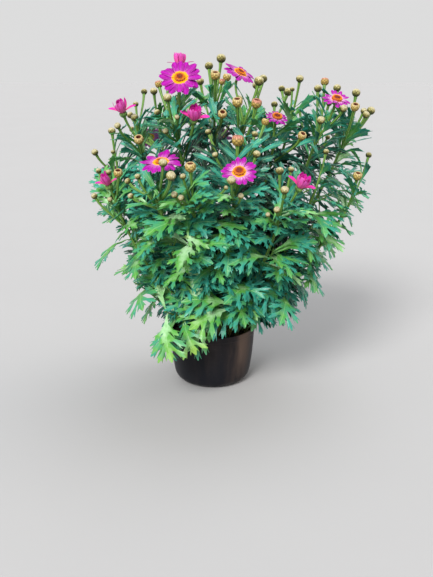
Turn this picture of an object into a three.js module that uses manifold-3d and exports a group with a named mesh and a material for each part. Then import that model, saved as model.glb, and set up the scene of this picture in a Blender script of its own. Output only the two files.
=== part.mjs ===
// A marguerite daisy in a round nursery pot: the pot, its soil, the leafy stems with their buds, the blooms.
// Millimetres, +Z up, +X to the right, +Y to the back. The origin is the middle of the pot's underside.
import * as THREE from "three";
import { mergeVertices } from "three/addons/utils/BufferGeometryUtils.js";
import Module from "manifold-3d";

const wasm = await Module();
wasm.setup();

// Driving dimensions of the pot and the soil. The wall bows out a little between its rounded foot and the
// rim band.
const POT_RIM_RADIUS = 65;
const POT_BOW_RADIUS = 62.2;
const POT_BOW_HEIGHT = 45;
const POT_LOW_RADIUS = 58;
const FOOT_ROUNDING = 17;
const POT_FOOT_RADIUS = POT_LOW_RADIUS - FOOT_ROUNDING;
const POT_HEIGHT = 86;
const POT_WALL = 1.4;
const POT_FLOOR = 1.8;
const FOOT_INSIDE = [POT_FOOT_RADIUS + 10.5, 6.4];
const RIM_BAND_HEIGHT = 9;
const RIM_BAND_DEPTH = 0.9;
const POT_SIDES = 22;
const DRAIN_HOLES = 6;
const DRAIN_RADIUS = 4.5;
const DRAIN_SIDES = 6;
const DRAIN_CIRCLE = 31;
const SOIL_HEIGHT = 74;
const SOIL_MOUND = 3;
const STEM_HOLE_DEPTH = 22;
const STEM_HOLE_SIDES = 6;
const SEAT_GAP = 0.3;

// Driving dimensions of the stems, side shoots and stalks. A stem leans by its distance from the middle.
const STEM_RADIUS = 2;
const STEM_SIDES = 4;
const STEM_STEPS = 5;
const STEM_LEAN_AT_FOOT = 0.0025;
const STEM_LEAN_AT_TOP = 0.0022;
const FOOT_SPREAD = 0.2;
const SHOOT_RADIUS = 1.4;
const SHOOT_SIDES = 4;
const SHOOT_STEPS = 4;
const SHOOT_FROM = 0.2;
const STALK_RADIUS = 1.1;
const STALK_SIDES = 3;
const STALK_STEPS = 2;
const FIRST_HEAD_AT = 0.985;
const HEAD_SPACING = 0.045;
const FLOWER_NECK = 6;
const BUD_NECK_SHARE = 0.6;

// Driving dimensions of the leaves. Pairs give a low leaf and a high leaf of the bush.
const STEM_LEAVES = 5;
const SHOOT_LEAVES = 5;
const LEAF_LENGTHS = [80, 64];
const LEAF_BENDS = [1.3, 0.7];
const LEAF_RISES = [0.3, 0.75];
const LEAF_LEVELS = [90, 370];
const LEAF_THICKNESS = 0.8;
const LEAF_GAP = 5;
const OWN_GAP = 2;
const LEAF_MARGIN = 4;
const LOWEST_LEAF = 70;
const ROOM_ROUND_POT = 8;
const BARE_RIM_LEAVES_FROM = 108;
// How far to the left and right the leaves reach, each row at [height, left, right].
const BUSH_SIDES = [
  [70, -84, 92],
  [90, -90, 106],
  [110, -98, 126],
  [130, -115, 147],
  [150, -135, 159],
  [175, -150, 174],
  [200, -157, 194],
  [230, -168, 214],
  [260, -180, 225],
  [300, -190, 235],
];
const BUSH_MIDDLE = new THREE.Vector2(20, -10);
const GOLDEN_ANGLE = THREE.MathUtils.degToRad(137.5);
const SWINGS = [0, 0.5, -0.5, 1, -1, 1.5, -1.5];

// Driving dimensions of the flower heads. The hub of the rays is flat, with the disc above it and the green
// cup below it.
const BLOOM_RAYS = 13;
const CUP_RAYS = 7;
const RAY_THICKNESS = 0.8;
const RAY_TIP_SHARE = 0.36;
const HUB_SHARE = 0.32;
const BLOOM_RISE_SHARE = 0.05;
const CUP_RISE = 12;
const DISC_SIDES = 7;
const HEAD_SIDES = 5;
const HUB_FACE = RAY_THICKNESS / 2 + SEAT_GAP;
const CALYX_PROFILE = [[0, -8], [2.2, -8], [6.6, -3.6], [6.4, -HUB_FACE], [0, -HUB_FACE]];
const CUP_CALYX_PROFILE = [[0, -8], [2, -8], [5.2, -4.5], [4, -HUB_FACE], [0, -HUB_FACE]];
const DISC_PROFILE = [[0, HUB_FACE], [6.4, HUB_FACE], [7.4, 2.4], [5.5, 4.4], [0, 4]];
const BUD_PROFILE = [[0, -0.8], [0.96, -0.25], [0.82, 0.55], [0, 0.9]];

const UP = new THREE.Vector3(0, 0, 1);
const vector = (xyz) => new THREE.Vector3(...xyz);

// Flower heads, with their places in mm and their sizes as a radius. An open bloom and a cup, which is half
// open, also say where they face; a bud faces along its stalk.
const bloom = (name, at, radius, facing) => ({ kind: "bloom", name, at, radius, facing });
const cup = (name, at, radius, facing) => ({ kind: "cup", name, at, radius, facing });
const bud = (x, y, z, radius) => ({ kind: "bud", at: [x, y, z], radius });

// Leafy stems: the place where the leafy part ends, the tip of a low side shoot where there is one, and the
// heads from the topmost down.
const STEMS = [
  {
    name: "left_crown",
    top: [-98, -42, 372],
    heads: [
      bud(-94, 10, 426, 4.5),
      cup("left_crown", [-116, -60, 404], 9, [-0.2, -0.4, 0.9]),
      bud(-120, -84, 388, 4.5),
      bud(-92, -96, 372, 6.5),
    ],
  },
  {
    name: "left_centre",
    top: [-46, -58, 395],
    heads: [
      cup("crown", [-42, -28, 461], 9, [0, 0.1, 1]),
      bloom("crown", [-40, -70, 446], 28, [0, -0.7, 0.7]),
      bud(-71, -20, 437, 5.5),
      bud(-54, -106, 424, 5.5),
      cup("centre", [-22, -95, 398], 11, [0.1, -0.5, 0.86]),
    ],
  },
  {
    name: "crown",
    top: [4, -4, 408],
    heads: [bud(13, 0, 470, 6.5), bud(-4, 30, 460, 6), bud(5, -50, 449, 6.5), bud(14, -90, 403, 6)],
  },
  {
    name: "right_of_crown",
    top: [42, -38, 395],
    heads: [
      bloom("right_of_crown", [38, -20, 451], 24, [0.45, -0.35, 0.82]),
      bud(62, -50, 442, 6.5),
      bud(72, 24, 443, 6),
      bud(33, -80, 417, 7),
      bud(58, -70, 415, 7),
    ],
  },
  {
    name: "middle",
    top: [31, -112, 318],
    low: [32, -100, 150],
    heads: [
      bud(33, -115, 373, 8),
      bud(56, -130, 358, 5),
      bloom("middle", [34, -150, 339], 23, [0, -0.64, 0.77]),
      bud(24, -186, 335, 5.5),
    ],
  },
  {
    name: "right_centre",
    top: [86, -12, 352],
    heads: [
      bud(90, 40, 407, 5),
      bloom("right_centre", [89, -20, 393], 16, [0.15, -0.45, 0.88]),
      bud(117, -80, 375, 6),
    ],
  },
  { name: "right_back_crown", top: [114, 34, 385], heads: [bud(123, 20, 443, 5.5)] },
  {
    name: "right_crown",
    top: [148, -22, 375],
    heads: [
      bud(158, 20, 439, 6),
      bud(145, -8, 431, 5.5),
      bloom("right_crown", [166, -40, 418], 19, [0.15, -0.45, 0.88]),
      bud(142, -70, 394, 5.5),
    ],
  },
  {
    name: "far_right",
    top: [188, 2, 360],
    heads: [bud(199, 0, 425, 6), bud(221, 0, 401, 6), bud(184, -76, 411, 6)],
  },
  { name: "right_low", top: [138, -78, 305], low: [106, -64, 155], heads: [bud(150, -74, 354, 4)] },
  {
    name: "far_right_low",
    top: [196, -36, 285],
    low: [136, -16, 175],
    heads: [bud(222, 0, 340, 4.5), bud(196, -60, 320, 6.5)],
  },
  {
    name: "left_low",
    top: [-126, -76, 282],
    low: [-112, -44, 165],
    heads: [
      bud(-118, -112, 332, 6),
      bud(-150, -68, 328, 4),
      cup("left_low", [-135, -90, 314], 7, [-0.3, -0.4, 0.86]),
      bud(-155, -82, 297, 4.5),
    ],
  },
  {
    name: "left_front",
    top: [-66, -124, 300],
    low: [-64, -98, 140],
    heads: [
      bloom("left_front", [-61, -140, 349], 26, [-0.1, -0.3, 0.95]),
      bud(-46, -192, 341, 6),
      bud(-91, -134, 331, 4),
    ],
  },
  {
    name: "front",
    top: [-22, -128, 292],
    low: [-14, -108, 140],
    heads: [bud(-25, -150, 345, 7), bud(-44, -164, 314, 4.5)],
  },
  {
    name: "right_front",
    top: [88, -114, 275],
    low: [72, -92, 145],
    heads: [
      bud(87, -108, 334, 5.5),
      cup("right_front", [111, -130, 318], 10.5, [0.35, -0.4, 0.85]),
      bud(90, -150, 317, 5.5),
    ],
  },
  {
    name: "back_left",
    top: [-78, 70, 362],
    low: [-78, 70, 165],
    heads: [
      bud(-66, 95, 432, 6),
      bloom("back_left", [-100, 118, 352], 25, [-0.3, 0.7, 0.65]),
      bud(-122, 70, 390, 5),
    ],
  },
  {
    name: "back",
    top: [0, 96, 370],
    low: [2, 104, 160],
    heads: [
      bud(22, 96, 443, 6.5),
      bloom("back", [10, 146, 350], 25, [0.05, 0.75, 0.66]),
      bud(42, 132, 410, 6),
      bud(-44, 136, 388, 5.5),
    ],
  },
  {
    name: "back_right",
    top: [80, 84, 362],
    low: [84, 78, 165],
    heads: [
      bud(66, 86, 432, 6),
      bud(114, 92, 422, 6.5),
      cup("back_right", [96, 128, 372], 9, [0.2, 0.5, 0.84]),
    ],
  },
  { name: "far_back_right", top: [150, 80, 325], low: [128, 36, 180], heads: [bud(196, 62, 378, 5.5)] },
  {
    name: "far_left",
    top: [-136, 18, 312],
    low: [-118, 20, 170],
    heads: [
      bud(-142, 14, 372, 5.5),
      bud(-164, -8, 345, 5),
      bloom("far_left", [-158, 66, 302], 23, [-0.55, 0.55, 0.63]),
    ],
  },
];

// One half of a leaf in shares of its length. A lobe starts at root on the rib, and its tip is
// [along, across].
const BROAD_LOBES = [
  { root: 0.28, tip: [0.54, 0.22] },
  { root: 0.44, tip: [0.76, 0.32] },
  { root: 0.62, tip: [0.96, 0.26] },
];
const NARROW_LOBES = [
  { root: 0.36, tip: [0.64, 0.21] },
  { root: 0.56, tip: [0.86, 0.24] },
];
const LEAF_RIB_END = 0.78;
const LEAF_RIB_WIDTH = 0.04;
const LEAF_FOOT_WIDTH = 0.008;
const LEAF_FREE_FROM = 0.3;

// Random draws that are the same each time
function seeded(seed) {
  let state = seed;
  return (low, high) => {
    state = (Math.imul(state, 1664525) + 1013904223) >>> 0;
    return low + ((high - low) * state) / 2 ** 32;
  };
}

const mix = (low, high, share) => low + (high - low) * Math.min(1, Math.max(0, share));

// A curve that leaves one place in one direction and arrives at another in another direction
function growth(from, direction, to, arrival) {
  const reach = from.distanceTo(to) / 3;
  return new THREE.CubicBezierCurve3(
    from,
    from.clone().addScaledVector(direction, reach),
    to.clone().addScaledVector(arrival, -reach),
    to,
  );
}

// Stems, side shoots and stalks
function stemCurve(stem) {
  const top = vector(stem.top);
  const depth = STEM_HOLE_DEPTH - SEAT_GAP;
  const foot = new THREE.Vector3(top.x * FOOT_SPREAD, top.y * FOOT_SPREAD, SOIL_HEIGHT - depth);
  const leaning = (lean) => new THREE.Vector3(top.x * lean, top.y * lean, 1).normalize();
  return growth(foot, leaning(STEM_LEAN_AT_FOOT), top, leaning(STEM_LEAN_AT_TOP));
}

function shootCurve(stem, curve) {
  const tip = vector(stem.low);
  const from = curve.getPoint(SHOOT_FROM);
  const outward = tip.clone().sub(from).setZ(0).normalize();
  const direction = outward.clone().multiplyScalar(0.8).addScaledVector(UP, 0.6);
  const arrival = outward.clone().multiplyScalar(0.85).addScaledVector(UP, 0.5);
  return growth(from, direction.normalize(), tip, arrival.normalize());
}

// The first head continues the stem, and the others branch off below it one after the other.
function headsOf(stem, curve) {
  return stem.heads.map((head, order) => {
    const along = FIRST_HEAD_AT - HEAD_SPACING * order;
    const from = curve.getPoint(along);
    const at = vector(head.at);
    const facing = head.facing
      ? vector(head.facing).normalize()
      : at.clone().sub(from).normalize().addScaledVector(UP, 0.5).normalize();
    const neck = head.kind === "bud" ? head.radius * BUD_NECK_SHARE : FLOWER_NECK;
    const end = at.clone().addScaledVector(facing, -neck);
    const direction = end.clone().sub(from).normalize().add(curve.getTangent(along)).normalize();
    const stalk = growth(from, direction, end, facing);
    return { ...head, at, facing, stalk };
  });
}

// Leaves: where each one grows, how it points, and the points that keep it clear of the rest
function leafPoint(leaf, along, across, lift) {
  const turned = leaf.bend * along;
  const forward = (Math.sin(turned) / leaf.bend) * leaf.length;
  const drop = ((1 - Math.cos(turned)) / leaf.bend) * leaf.length;
  const raised = lift + leaf.curl * Math.abs(across) * leaf.length;
  return leaf.foot
    .clone()
    .addScaledVector(leaf.direction, forward + raised * Math.sin(turned))
    .addScaledVector(leaf.face, raised * Math.cos(turned) - drop)
    .addScaledVector(leaf.side, across * leaf.length);
}

function leafAt(curve, along, turn, draw, lobes) {
  const foot = curve.getPoint(along);
  const tangent = curve.getTangent(along);
  const height = (foot.z - LEAF_LEVELS[0]) / (LEAF_LEVELS[1] - LEAF_LEVELS[0]);
  const outward = new THREE.Vector3(foot.x - BUSH_MIDDLE.x, foot.y - BUSH_MIDDLE.y, 0).normalize();
  const level = new THREE.Vector3().crossVectors(tangent, UP).normalize();
  const steep = new THREE.Vector3().crossVectors(level, tangent);
  const direction = level
    .multiplyScalar(Math.cos(turn))
    .addScaledVector(steep, Math.sin(turn))
    .addScaledVector(outward, draw.outward)
    .addScaledVector(UP, mix(...LEAF_RISES, height))
    .normalize();
  const above = UP.clone().addScaledVector(outward, 0.7);
  const face = above.addScaledVector(direction, -direction.dot(above)).normalize();
  const side = new THREE.Vector3().crossVectors(face, direction);
  const bend = mix(...LEAF_BENDS, height) * draw.bend;
  const length = mix(...LEAF_LENGTHS, height) * draw.length;
  return { foot, direction, face, side, bend, length, curl: draw.curl, lobes };
}

function samplesOf(leaf) {
  const shares = Array.from({ length: 10 }, (_, k) => [(k + 1) / 10, 0]);
  for (const { root, tip } of leaf.lobes) {
    for (const share of [1 / 3, 2 / 3, 1]) {
      const along = mix(root, tip[0], share);
      shares.push([along, tip[1] * share], [along, -tip[1] * share]);
    }
  }
  return shares.map(([along, across]) => {
    return { place: leafPoint(leaf, along, across, 0), free: along > LEAF_FREE_FROM };
  });
}

const overPot = ({ x, y, z }) =>
  z < POT_HEIGHT + ROOM_ROUND_POT && Math.hypot(x, y) < POT_RIM_RADIUS + ROOM_ROUND_POT;

// On its front right the rim shows under the leaves.
const overBareRim = ({ x, y, z }) => z < BARE_RIM_LEAVES_FROM && y < 0 && x > 0 && x < POT_RIM_RADIUS;

function beyondSides({ x, z }) {
  const above = BUSH_SIDES.findIndex(([height]) => height > z);
  if (above === 0) return x < BUSH_SIDES[0][1] || x > BUSH_SIDES[0][2];
  if (above < 0) return x < BUSH_SIDES.at(-1)[1] || x > BUSH_SIDES.at(-1)[2];
  const [low, high] = BUSH_SIDES.slice(above - 1, above + 1);
  const share = (z - low[0]) / (high[0] - low[0]);
  return x < mix(low[1], high[1], share) || x > mix(low[2], high[2], share);
}

// A leaf stays clear of everything that other stems hold, and its blade also of what its own stem holds.
function isClear(samples, taken, owner) {
  const apart = (sample, other) => {
    if (other.owner !== owner) return sample.place.distanceTo(other.place) > LEAF_GAP + other.margin;
    return !sample.free || sample.place.distanceTo(other.place) > OWN_GAP + other.margin;
  };
  return samples.every((sample) => {
    const { place } = sample;
    if (place.z < LOWEST_LEAF || overPot(place) || overBareRim(place) || beyondSides(place)) return false;
    return taken.every((other) => apart(sample, other));
  });
}

const takenByCurve = (curve, steps, margin, owner) =>
  curve.getPoints(steps).map((place) => ({ place, margin, owner }));

// An open bloom takes its middle and eight points on a circle inside its tips.
function takenByHead({ kind, at, facing, radius }, owner) {
  if (kind !== "bloom") return [{ place: at, margin: radius + 2, owner }];
  const spin = new THREE.Quaternion().setFromUnitVectors(UP, facing);
  const ring = Array.from({ length: 8 }, (_, k) => {
    const angle = (k * Math.PI) / 4;
    const spoke = new THREE.Vector3(Math.cos(angle), Math.sin(angle), 0).applyQuaternion(spin);
    return { place: at.clone().addScaledVector(spoke, radius * 0.75), margin: 8, owner: "rays" };
  });
  return [{ place: at, margin: 10, owner: "rays" }, ...ring];
}

// Leaves up one stem or shoot, each a golden angle on from the last, swung aside or left out where there is
// no room
function leavesUp(curve, lobes, count, first, owner, random, taken) {
  const leaves = [];
  let turn = random(0, 2 * Math.PI);
  for (let k = 0; k < count; k += 1) {
    const along = mix(first, 1, (k + 0.5) / count);
    const draw = {
      outward: random(0.5, 0.9),
      bend: random(0.85, 1.15),
      length: random(0.85, 1.12),
      curl: random(-0.25, 0.15),
    };
    for (const swing of SWINGS) {
      const leaf = leafAt(curve, along, turn + swing, draw, lobes);
      const samples = samplesOf(leaf);
      if (isClear(samples, taken, owner)) {
        leaves.push(leaf);
        taken.push(...samples.map(({ place }) => ({ place, margin: LEAF_MARGIN, owner })));
        break;
      }
    }
    turn += GOLDEN_ANGLE;
  }
  return leaves;
}

function growPlant() {
  const plants = STEMS.map((stem) => {
    const curve = stemCurve(stem);
    const shoot = stem.low ? shootCurve(stem, curve) : null;
    return { name: stem.name, curve, shoot, heads: headsOf(stem, curve) };
  });
  const taken = plants.flatMap(({ name, curve, shoot, heads }) => [
    ...takenByCurve(curve, 36, STEM_RADIUS, name),
    ...(shoot ? takenByCurve(shoot, 14, SHOOT_RADIUS, name) : []),
    ...heads.flatMap((head) => [
      ...takenByCurve(head.stalk, 10, STALK_RADIUS, name),
      ...takenByHead(head, name),
    ]),
  ]);
  plants.forEach(({ name, curve, shoot }, order) => {
    const random = seeded(1000 + order);
    const first = shoot ? 0.35 : 0.5;
    const leaves = leavesUp(curve, NARROW_LOBES, STEM_LEAVES, first, name, random, taken);
    if (shoot) leaves.push(...leavesUp(shoot, BROAD_LOBES, SHOOT_LEAVES, 0.2, name, random, taken));
    plants[order].leaves = leaves;
  });
  return plants;
}

// Solids from three.js geometry
function solidOf(geometry) {
  const bare = geometry.index ? geometry.toNonIndexed() : geometry;
  const positions = new THREE.BufferGeometry().setAttribute("position", bare.getAttribute("position"));
  const merged = mergeVertices(positions, 1e-4);
  return new wasm.Manifold(
    new wasm.Mesh({
      numProp: 3,
      vertProperties: merged.attributes.position.array,
      triVerts: new Uint32Array(merged.index.array),
    }),
  );
}

function geometryOf(solid) {
  const mesh = solid.getMesh();
  const geometry = new THREE.BufferGeometry();
  geometry.setAttribute("position", new THREE.BufferAttribute(new Float32Array(mesh.vertProperties), 3));
  geometry.setIndex(new THREE.BufferAttribute(new Uint32Array(mesh.triVerts), 1));
  geometry.computeVertexNormals();
  return geometry;
}

function rodAlong(curve, radius, sides, steps) {
  const corners = Array.from({ length: sides }, (_, k) => {
    const angle = (k * 2 * Math.PI) / sides;
    return new THREE.Vector2(radius * Math.cos(angle), radius * Math.sin(angle));
  });
  return solidOf(new THREE.ExtrudeGeometry(new THREE.Shape(corners), { steps, extrudePath: curve }));
}

// A thin solid from a flat pattern: its faces, the same faces turned over below, and a wall round its edge
function blade(pattern, placeOf, thickness) {
  const count = pattern.points.length;
  const corners = [];
  for (const lift of [thickness / 2, -thickness / 2])
    corners.push(...pattern.points.map(([along, across]) => placeOf(along, across, lift)));
  const edges = new Set(pattern.faces.flatMap(([a, b, c]) => [`${a}-${b}`, `${b}-${c}`, `${c}-${a}`]));
  const faces = [...pattern.faces, ...pattern.faces.map(([a, b, c]) => [c + count, b + count, a + count])];
  for (const edge of edges) {
    const [a, b] = edge.split("-").map(Number);
    if (!edges.has(`${b}-${a}`)) faces.push([b, a, a + count], [b, a + count, b + count]);
  }
  const geometry = new THREE.BufferGeometry().setFromPoints(corners);
  geometry.setIndex(faces.flat());
  return solidOf(geometry);
}

function leafPattern(lobes) {
  const points = [];
  const faces = [];
  const at = (along, across) => points.push([along, across]) - 1;
  let right = at(0, -LEAF_FOOT_WIDTH);
  let left = at(0, LEAF_FOOT_WIDTH);
  const roots = [...lobes.map(({ root }) => root), LEAF_RIB_END];
  roots.forEach((root, order) => {
    const nextRight = at(root, -LEAF_RIB_WIDTH);
    const nextLeft = at(root, LEAF_RIB_WIDTH);
    faces.push([right, nextRight, nextLeft], [right, nextLeft, left]);
    const lobe = lobes[order - 1];
    if (lobe) {
      const tipRight = at(lobe.tip[0], -lobe.tip[1]);
      const tipLeft = at(lobe.tip[0], lobe.tip[1]);
      faces.push([right, tipRight, nextRight], [left, nextLeft, tipLeft]);
    }
    [right, left] = [nextRight, nextLeft];
  });
  faces.push([right, at(1, 0), left]);
  return { points, faces };
}

// Rays in a ring round a hub: each is a strip between two notches of the hub with a blunt end.
function rayPattern(count) {
  const step = (2 * Math.PI) / count;
  const points = [[0, 0]];
  const faces = [];
  for (let k = 0; k < count; k += 1) {
    const angle = k * step;
    points.push([HUB_SHARE, angle - step / 2]);
    points.push([1, angle - step * RAY_TIP_SHARE], [1, angle + step * RAY_TIP_SHARE]);
  }
  for (let k = 0; k < count; k += 1) {
    const notch = 1 + 3 * k;
    const next = 1 + 3 * ((k + 1) % count);
    faces.push([0, notch, next], [notch, notch + 1, notch + 2], [notch, notch + 2, next]);
  }
  return { points, faces };
}

const LEAF_PATTERNS = new Map([BROAD_LOBES, NARROW_LOBES].map((lobes) => [lobes, leafPattern(lobes)]));
const BLOOM_PATTERN = rayPattern(BLOOM_RAYS);
const CUP_PATTERN = rayPattern(CUP_RAYS);

function turnedTo(solid, at, facing) {
  const spin = new THREE.Quaternion().setFromUnitVectors(UP, facing);
  return solid.transform(new THREE.Matrix4().compose(at, spin, new THREE.Vector3(1, 1, 1)).elements);
}

// A solid turned about the upright axis, from [radius, height] points that start and end on it
function turnedProfile(profile, sides) {
  const points = profile.map(([radius, height]) => new THREE.Vector2(radius, height));
  return solidOf(new THREE.LatheGeometry(points, sides).rotateX(Math.PI / 2));
}

// An upright prism that is centred on the origin
function uprightRod(radius, height, sides) {
  return new THREE.CylinderGeometry(radius, radius, height, sides).rotateX(Math.PI / 2);
}

// Flower heads. The rays of a bloom rise a little to their tips, and those of a cup stand nearly upright.
const bloomRise = (radius, share) => [radius * share, share > HUB_SHARE ? BLOOM_RISE_SHARE * radius : 0];
const cupRise = (radius, share) => [radius * (0.25 + 0.75 * share), share > HUB_SHARE ? CUP_RISE : 0];

function raysSolid(head) {
  const [pattern, rise] = head.kind === "bloom" ? [BLOOM_PATTERN, bloomRise] : [CUP_PATTERN, cupRise];
  const placeOf = (share, angle, lift) => {
    const [out, height] = share === 0 ? [0, 0] : rise(head.radius, share);
    return new THREE.Vector3(out * Math.cos(angle), out * Math.sin(angle), height + lift);
  };
  return turnedTo(blade(pattern, placeOf, RAY_THICKNESS), head.at, head.facing);
}

function headBase(head) {
  const budProfile = BUD_PROFILE.map(([out, up]) => [out * head.radius, up * head.radius]);
  const profiles = { bloom: CALYX_PROFILE, cup: CUP_CALYX_PROFILE, bud: budProfile };
  return turnedProfile(profiles[head.kind], HEAD_SIDES);
}

function leafSolid(leaf) {
  const placeOf = (along, across, lift) => leafPoint(leaf, along, across, lift);
  return blade(LEAF_PATTERNS.get(leaf.lobes), placeOf, LEAF_THICKNESS);
}

function leafySolid(plant) {
  const pieces = [rodAlong(plant.curve, STEM_RADIUS, STEM_SIDES, STEM_STEPS)];
  if (plant.shoot) pieces.push(rodAlong(plant.shoot, SHOOT_RADIUS, SHOOT_SIDES, SHOOT_STEPS));
  pieces.push(...plant.leaves.map(leafSolid));
  for (const head of plant.heads) {
    pieces.push(rodAlong(head.stalk, STALK_RADIUS, STALK_SIDES, STALK_STEPS));
    pieces.push(turnedTo(headBase(head), head.at, head.facing));
  }
  return wasm.Manifold.union(pieces);
}

// The pot and the soil. The outside of the pot's wall is in two straight stretches over the rounded foot.
function wallAt(height) {
  if (height < POT_BOW_HEIGHT) {
    const share = (height - FOOT_ROUNDING) / (POT_BOW_HEIGHT - FOOT_ROUNDING);
    return mix(POT_LOW_RADIUS, POT_BOW_RADIUS, share);
  }
  const share = (height - POT_BOW_HEIGHT) / (POT_HEIGHT - POT_BOW_HEIGHT);
  return mix(POT_BOW_RADIUS, POT_RIM_RADIUS - RIM_BAND_DEPTH, share);
}

function potSolid() {
  const bandLow = POT_HEIGHT - RIM_BAND_HEIGHT;
  const foot = [0, 1, 2, 3].map((step) => {
    const angle = (step * Math.PI) / 6;
    const out = FOOT_ROUNDING * Math.sin(angle);
    return [POT_FOOT_RADIUS + out, FOOT_ROUNDING * (1 - Math.cos(angle))];
  });
  const profile = [
    [0, 0],
    ...foot,
    [POT_BOW_RADIUS, POT_BOW_HEIGHT],
    [wallAt(bandLow), bandLow],
    [wallAt(bandLow) + RIM_BAND_DEPTH, bandLow + RIM_BAND_DEPTH],
    [POT_RIM_RADIUS, POT_HEIGHT],
    [wallAt(POT_HEIGHT) - POT_WALL, POT_HEIGHT],
    [POT_BOW_RADIUS - POT_WALL, POT_BOW_HEIGHT],
    [POT_LOW_RADIUS - POT_WALL, FOOT_ROUNDING],
    FOOT_INSIDE,
    [POT_FOOT_RADIUS + 1, POT_FLOOR],
    [0, POT_FLOOR],
  ];
  const drills = Array.from({ length: DRAIN_HOLES }, (_, k) => {
    const angle = ((k + 0.5) * 2 * Math.PI) / DRAIN_HOLES;
    const [x, y] = [DRAIN_CIRCLE * Math.cos(angle), DRAIN_CIRCLE * Math.sin(angle)];
    return solidOf(uprightRod(DRAIN_RADIUS, 3 * POT_FLOOR, DRAIN_SIDES).translate(x, y, POT_FLOOR / 2));
  });
  return turnedProfile(profile, POT_SIDES).subtract(wasm.Manifold.union(drills));
}

// Each stem stands in a plain hole that follows its first straight stretch.
function stemHole(curve) {
  const foot = curve.getPointAt(0);
  const out = curve.getPointAt(1 / STEM_STEPS).sub(foot).normalize();
  const radius = (STEM_RADIUS + SEAT_GAP) / Math.cos(Math.PI / STEM_HOLE_SIDES);
  const drill = solidOf(uprightRod(radius, 2 * STEM_HOLE_DEPTH, STEM_HOLE_SIDES));
  return turnedTo(drill, foot.addScaledVector(out, STEM_HOLE_DEPTH - SEAT_GAP), out);
}

function soilSolid(plants) {
  const inside = (height) => wallAt(height) - POT_WALL - 2 * SEAT_GAP;
  const bottom = POT_FLOOR + SEAT_GAP;
  const shoulder = SOIL_HEIGHT - SOIL_MOUND;
  const profile = [
    [0, bottom],
    [POT_FOOT_RADIUS, bottom],
    [inside(FOOT_ROUNDING), FOOT_ROUNDING],
    [inside(POT_BOW_HEIGHT), POT_BOW_HEIGHT],
    [inside(shoulder), shoulder],
    [inside(shoulder) * 0.8, SOIL_HEIGHT],
    [0, SOIL_HEIGHT],
  ];
  const holes = wasm.Manifold.union(plants.map(({ curve }) => stemHole(curve)));
  return turnedProfile(profile, POT_SIDES).subtract(holes);
}

// The whole object as one group of named meshes
const group = new THREE.Group();

function addMesh(name, solid, color, roughness) {
  const material = new THREE.MeshStandardMaterial({ color, roughness, metalness: 0 });
  const mesh = new THREE.Mesh(geometryOf(solid), material);
  mesh.name = name;
  group.add(mesh);
}

const plants = growPlant();
addMesh("pot", potSolid(), "#1d1c20", 0.4);
addMesh("soil", soilSolid(plants), "#2b211a", 0.95);
for (const plant of plants) {
  addMesh(`stem_${plant.name}`, leafySolid(plant), "#2f6e4c", 0.7);
  for (const head of plant.heads) {
    if (head.kind === "bloom") {
      const disc = turnedProfile(DISC_PROFILE, DISC_SIDES);
      addMesh(`rays_${head.name}`, raysSolid(head), "#c816b4", 0.7);
      addMesh(`disc_${head.name}`, turnedTo(disc, head.at, head.facing), "#e8951a", 0.85);
    } else if (head.kind === "cup") {
      addMesh(`cup_${head.name}`, raysSolid(head), "#d23a8e", 0.7);
    }
  }
}

export default group;
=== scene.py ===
"""A potted marguerite daisy: the finished looks of its pot, soil, leafy stems, buds and flowers.

The plant is grown in millimetres by the same rule as the model it dresses, so each fine stem, leaf and flower
stands where the plain one is. Meshes are in metres.
"""

import functools
import math
import random
from types import SimpleNamespace

import bmesh
import bpy
import numpy as np
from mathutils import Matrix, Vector, noise


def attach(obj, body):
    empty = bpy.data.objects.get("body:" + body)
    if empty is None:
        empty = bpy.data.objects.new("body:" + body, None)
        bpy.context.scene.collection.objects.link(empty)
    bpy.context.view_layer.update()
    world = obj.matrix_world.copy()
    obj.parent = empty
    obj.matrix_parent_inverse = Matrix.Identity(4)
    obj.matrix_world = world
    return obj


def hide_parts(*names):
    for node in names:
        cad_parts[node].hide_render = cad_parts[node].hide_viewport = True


bl_info = {
    "name": "Potted marguerite daisy",
    "version": (1, 0, 0),
    "blender": (4, 5, 0),
    "location": "3D View > Sidebar > Daisy",
    "description": "Builds a marguerite daisy in a nursery pot, with its leaves, buds and flowers",
    "category": "Add Mesh",
}

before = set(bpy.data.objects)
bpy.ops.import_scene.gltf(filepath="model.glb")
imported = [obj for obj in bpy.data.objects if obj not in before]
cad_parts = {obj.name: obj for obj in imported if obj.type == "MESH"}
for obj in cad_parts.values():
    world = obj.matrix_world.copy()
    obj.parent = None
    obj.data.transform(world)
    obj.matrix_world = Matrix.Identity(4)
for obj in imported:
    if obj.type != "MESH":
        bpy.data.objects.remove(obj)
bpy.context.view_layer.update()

MM = 0.001
UP = np.array((0.0, 0.0, 1.0))
FULL_TURN = 2 * math.pi
GOLDEN_ANGLE = math.radians(137.5)

# The pot and the soil, in mm
POT_RIM_RADIUS = 65
POT_FOOT_RADIUS = 41
POT_BOW = 9.1
POT_HEIGHT = 86
POT_WALL = 1.4
POT_FLOOR = 1.8
RIM_BAND_HEIGHT = 9
RIM_BAND_DEPTH = 0.9
FOOT_ROUNDING = 17
DRAIN_HOLES = 6
DRAIN_RADIUS = 4.5
DRAIN_CIRCLE = 31
SOIL_HEIGHT = 74
SOIL_MOUND = 3
SOIL_GAP = 0.6
CRUMBS = 520

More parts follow.
